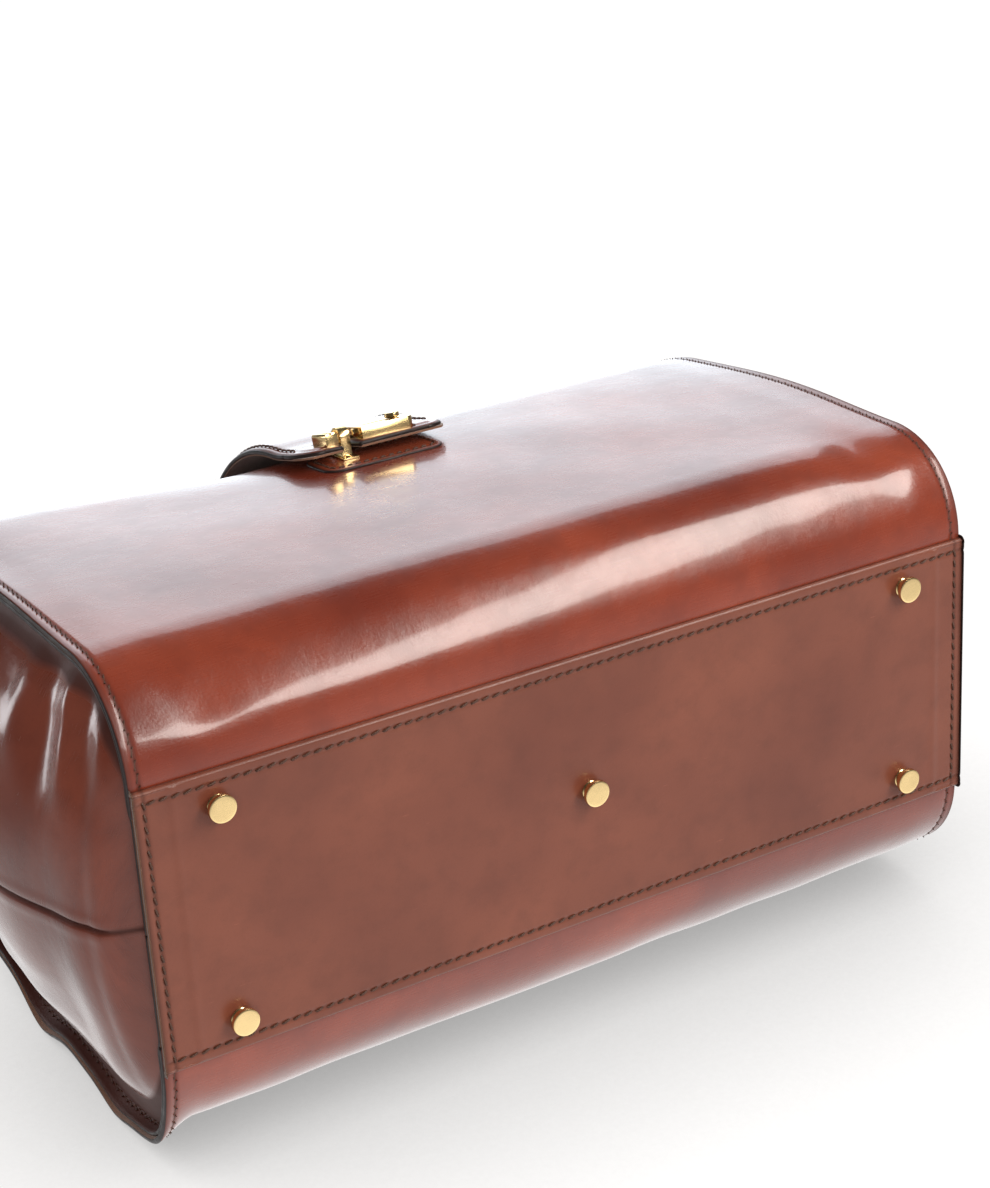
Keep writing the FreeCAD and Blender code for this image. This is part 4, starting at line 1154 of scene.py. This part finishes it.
def lock_patch():
    """Leather base patch under the staple, with a painted, stitched edge."""
    rows, dark, uv = [], [], []
    for up in np.linspace(PATCH_LOW, PATCH_HIGH, 40):
        inside = min(up - PATCH_LOW, PATCH_HIGH - up)
        half = rounded_half(PATCH_HALF, inside, PATCH_CORNER)
        xs = half * np.sin(np.linspace(-math.pi / 2, math.pi / 2, 60))
        edge = np.minimum(half - np.abs(xs), inside)
        lift = -0.35 * (1 - ramp(edge, 0, 1.5)) - 0.35 * bump(edge, 3.2, 0.7)
        rows.append(patch_point(xs, PATCH_FACE + lift, up))
        dark.append(0.9 * (1 - ramp(edge, 0, 2)))
        uv.append(np.stack([xs, np.full(len(xs), up + 1200)], -1))
    grid, uv, dark = np.array(rows), np.array(uv), np.array(dark)
    piece = leather_sheet("lock_patch", grid, 1.5, TRIM, uv, dark, flip=True, round_off=0.5)
    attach(piece, "bag_body")
    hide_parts("lock_base_patch")
    seam_radius = PATCH_CORNER - 3.2
    x, low, high = PATCH_HALF - PATCH_CORNER, PATCH_LOW + PATCH_CORNER, PATCH_HIGH - PATCH_CORNER
    border = []
    for centre_x, up, start in ((x, low, -90), (x, high, 0), (-x, high, 90), (-x, low, 180)):
        for angle in np.radians(np.linspace(start, start + 90, 10)):
            border.append((centre_x + seam_radius * math.cos(angle), up + seam_radius * math.sin(angle)))
    border = np.array(border + border[:1])
    steps = running_length(border)
    fine = np.arange(0, steps[-1], 0.5)
    across, up = (np.interp(fine, steps, border[:, axis]) for axis in (0, 1))
    line = patch_point(across, PATCH_FACE - 0.3, up)
    out = patch_point(0, 1.0, 0) - patch_point(0, 0.0, 0)
    stitches("patch_stitches", line, np.tile(out, (len(line), 1)), 121, "bag_body", pitch=4.2)


# --- stage --------------------------------------------------------------------------------------
CAMERA_AT = (-0.49522, -0.47704, -0.77611)
CAMERA_TURN = (0.18210208, 0.94451622, 0.08040276, -0.26127255)


def camera():
    """The photograph's view, from below the base."""
    data = bpy.data.cameras.new("camera")
    data.sensor_width = 36
    data.lens = 75.986
    data.clip_end = 20
    view = add_object("camera", data)
    view.location = CAMERA_AT
    view.rotation_mode = "QUATERNION"
    view.rotation_quaternion = CAMERA_TURN
    bpy.context.scene.camera = view


def paper(name):
    """White paper that shows only its front, with soft shade where something stands close to it."""
    nodes = new_material(name)
    open_sky = nodes.add("ShaderNodeAmbientOcclusion", {"Distance": 0.17}, samples=16).outputs["AO"]
    fibres = nodes.span(nodes.noise(object_place(nodes), 400, 2), 0.3, 0.7, 0.99, 1.01)
    nodes.set(Base_Color=(0, 0, 0, 1), Roughness=1.0, Specular_IOR_Level=0.0)
    nodes.set(Emission_Color=(1, 0.985, 0.975, 1))
    glow = nodes.math("MULTIPLY", nodes.span(open_sky, 0.0, 0.9, 0.34, 1.06), fibres)
    nodes.link(glow, "Emission Strength")
    clear = nodes.add("ShaderNodeBsdfTransparent").outputs[0]
    back = nodes.add("ShaderNodeNewGeometry").outputs["Backfacing"]
    shown = nodes.either(back, nodes.shader.outputs[0], clear)
    nodes.tree.links.new(shown, nodes.tree.nodes["Material Output"].inputs["Surface"])
    return nodes.owner


def stage_sheet(name, corners, material):
    """A plain sheet that only the camera sees, so that it doesn't light the bag."""
    piece = mesh_piece(name, corners, [(0, 1, 2, 3)], [material], smooth=False)
    piece.visible_shadow = False
    piece.visible_diffuse = False
    piece.visible_glossy = False
    piece.visible_transmission = False


def stage():
    """A floor under the bag, and an upright sheet behind it, on which it lies in the photograph."""
    white = paper("paper")
    size = 4000
    back = HALF_DEPTH + 12
    stage_sheet("floor", [(-size, -size, 0), (size, -size, 0), (size, size, 0), (-size, size, 0)], white)
    wall = [(-size, back, -size), (size, back, -size), (size, back, size), (-size, back, size)]
    stage_sheet("backdrop", wall, white)


def softbox(name, direction, distance, size, power, tint=(1, 1, 1), roll=0.0):
    """A rectangular soft light that looks at the bag."""
    data = bpy.data.lights.new(name, "AREA")
    data.shape = "RECTANGLE"
    data.size, data.size_y = size
    data.energy = power
    data.color = tint
    light = add_object(name, data)
    towards = Vector(direction).normalized()
    light.location = Vector((0, 0, 0.12)) + towards * distance
    light.rotation_mode = "QUATERNION"
    light.rotation_quaternion = towards.to_track_quat("Z", "X") @ Quaternion((0, 0, 1), math.radians(roll))
    light.visible_camera = False
    return light


def world():
    """Even light for dull surfaces. Glossy ones mirror pale paper behind the bag and a dim room in front."""
    studio = bpy.data.worlds.new("studio")
    bpy.context.scene.world = studio
    nodes = Nodes(studio)
    nodes.tree.nodes.clear()

    def glow(colour, strength):
        return nodes.add("ShaderNodeBackground", {"Color": (*colour, 1), "Strength": strength}).outputs[0]

    def fade(value, *ranges):
        return nodes.span(value, *ranges, interpolation_type="SMOOTHSTEP")

    around = nodes.add("ShaderNodeTexCoord").outputs["Generated"]
    direction = nodes.add("ShaderNodeSeparateXYZ", {0: around}).outputs
    behind = fade(direction["Y"], -0.15, 0.75, 0.08, 1.3)
    mirrored = nodes.math("MULTIPLY", behind, fade(direction["X"], -0.5, 0.25, 0.7, 1.0))
    rays = nodes.add("ShaderNodeLightPath").outputs
    light = nodes.either(rays["Is Glossy Ray"], glow((1.0, 0.98, 0.96), 0.42), glow((1, 1, 1), mirrored))
    surface = nodes.either(rays["Is Camera Ray"], light, glow((1, 1, 1), 1.06))
    nodes.add("ShaderNodeOutputWorld", {"Surface": surface})


def lights():
    world()
    softbox("backdrop_light", (0.42, -0.32, 0.85), 1.6, (1.9, 1.2), 16, (0.84, 0.93, 1.0), roll=-42)
    softbox("key_strip", (0.46, -0.60, -0.64), 1.5, (1.5, 0.36), 20, (1, 0.97, 0.91))
    softbox("side_strip", (-0.63, -0.08, 0.77), 1.6, (0.4, 0.4), 2.4, (0.95, 0.97, 1.0))
    softbox("fill_low", (-0.42, -0.25, -0.87), 1.8, (1.5, 1.5), 14, (1, 0.97, 0.94)).visible_glossy = False
    softbox("left_fill", (-0.93, -0.30, 0.15), 1.6, (0.5, 1.0), 1.5).visible_glossy = False
    bpy.context.scene.view_settings.view_transform = "Standard"


for which in SIDES:
    wrap(which)
    frame_wrap(which)
    gusset(which)
    for other in SIDES:
        gable(which, other)
base()
tab()
lock_patch()
handle_grip()
handle_ends()
hardware()
camera()
stage()
lights()
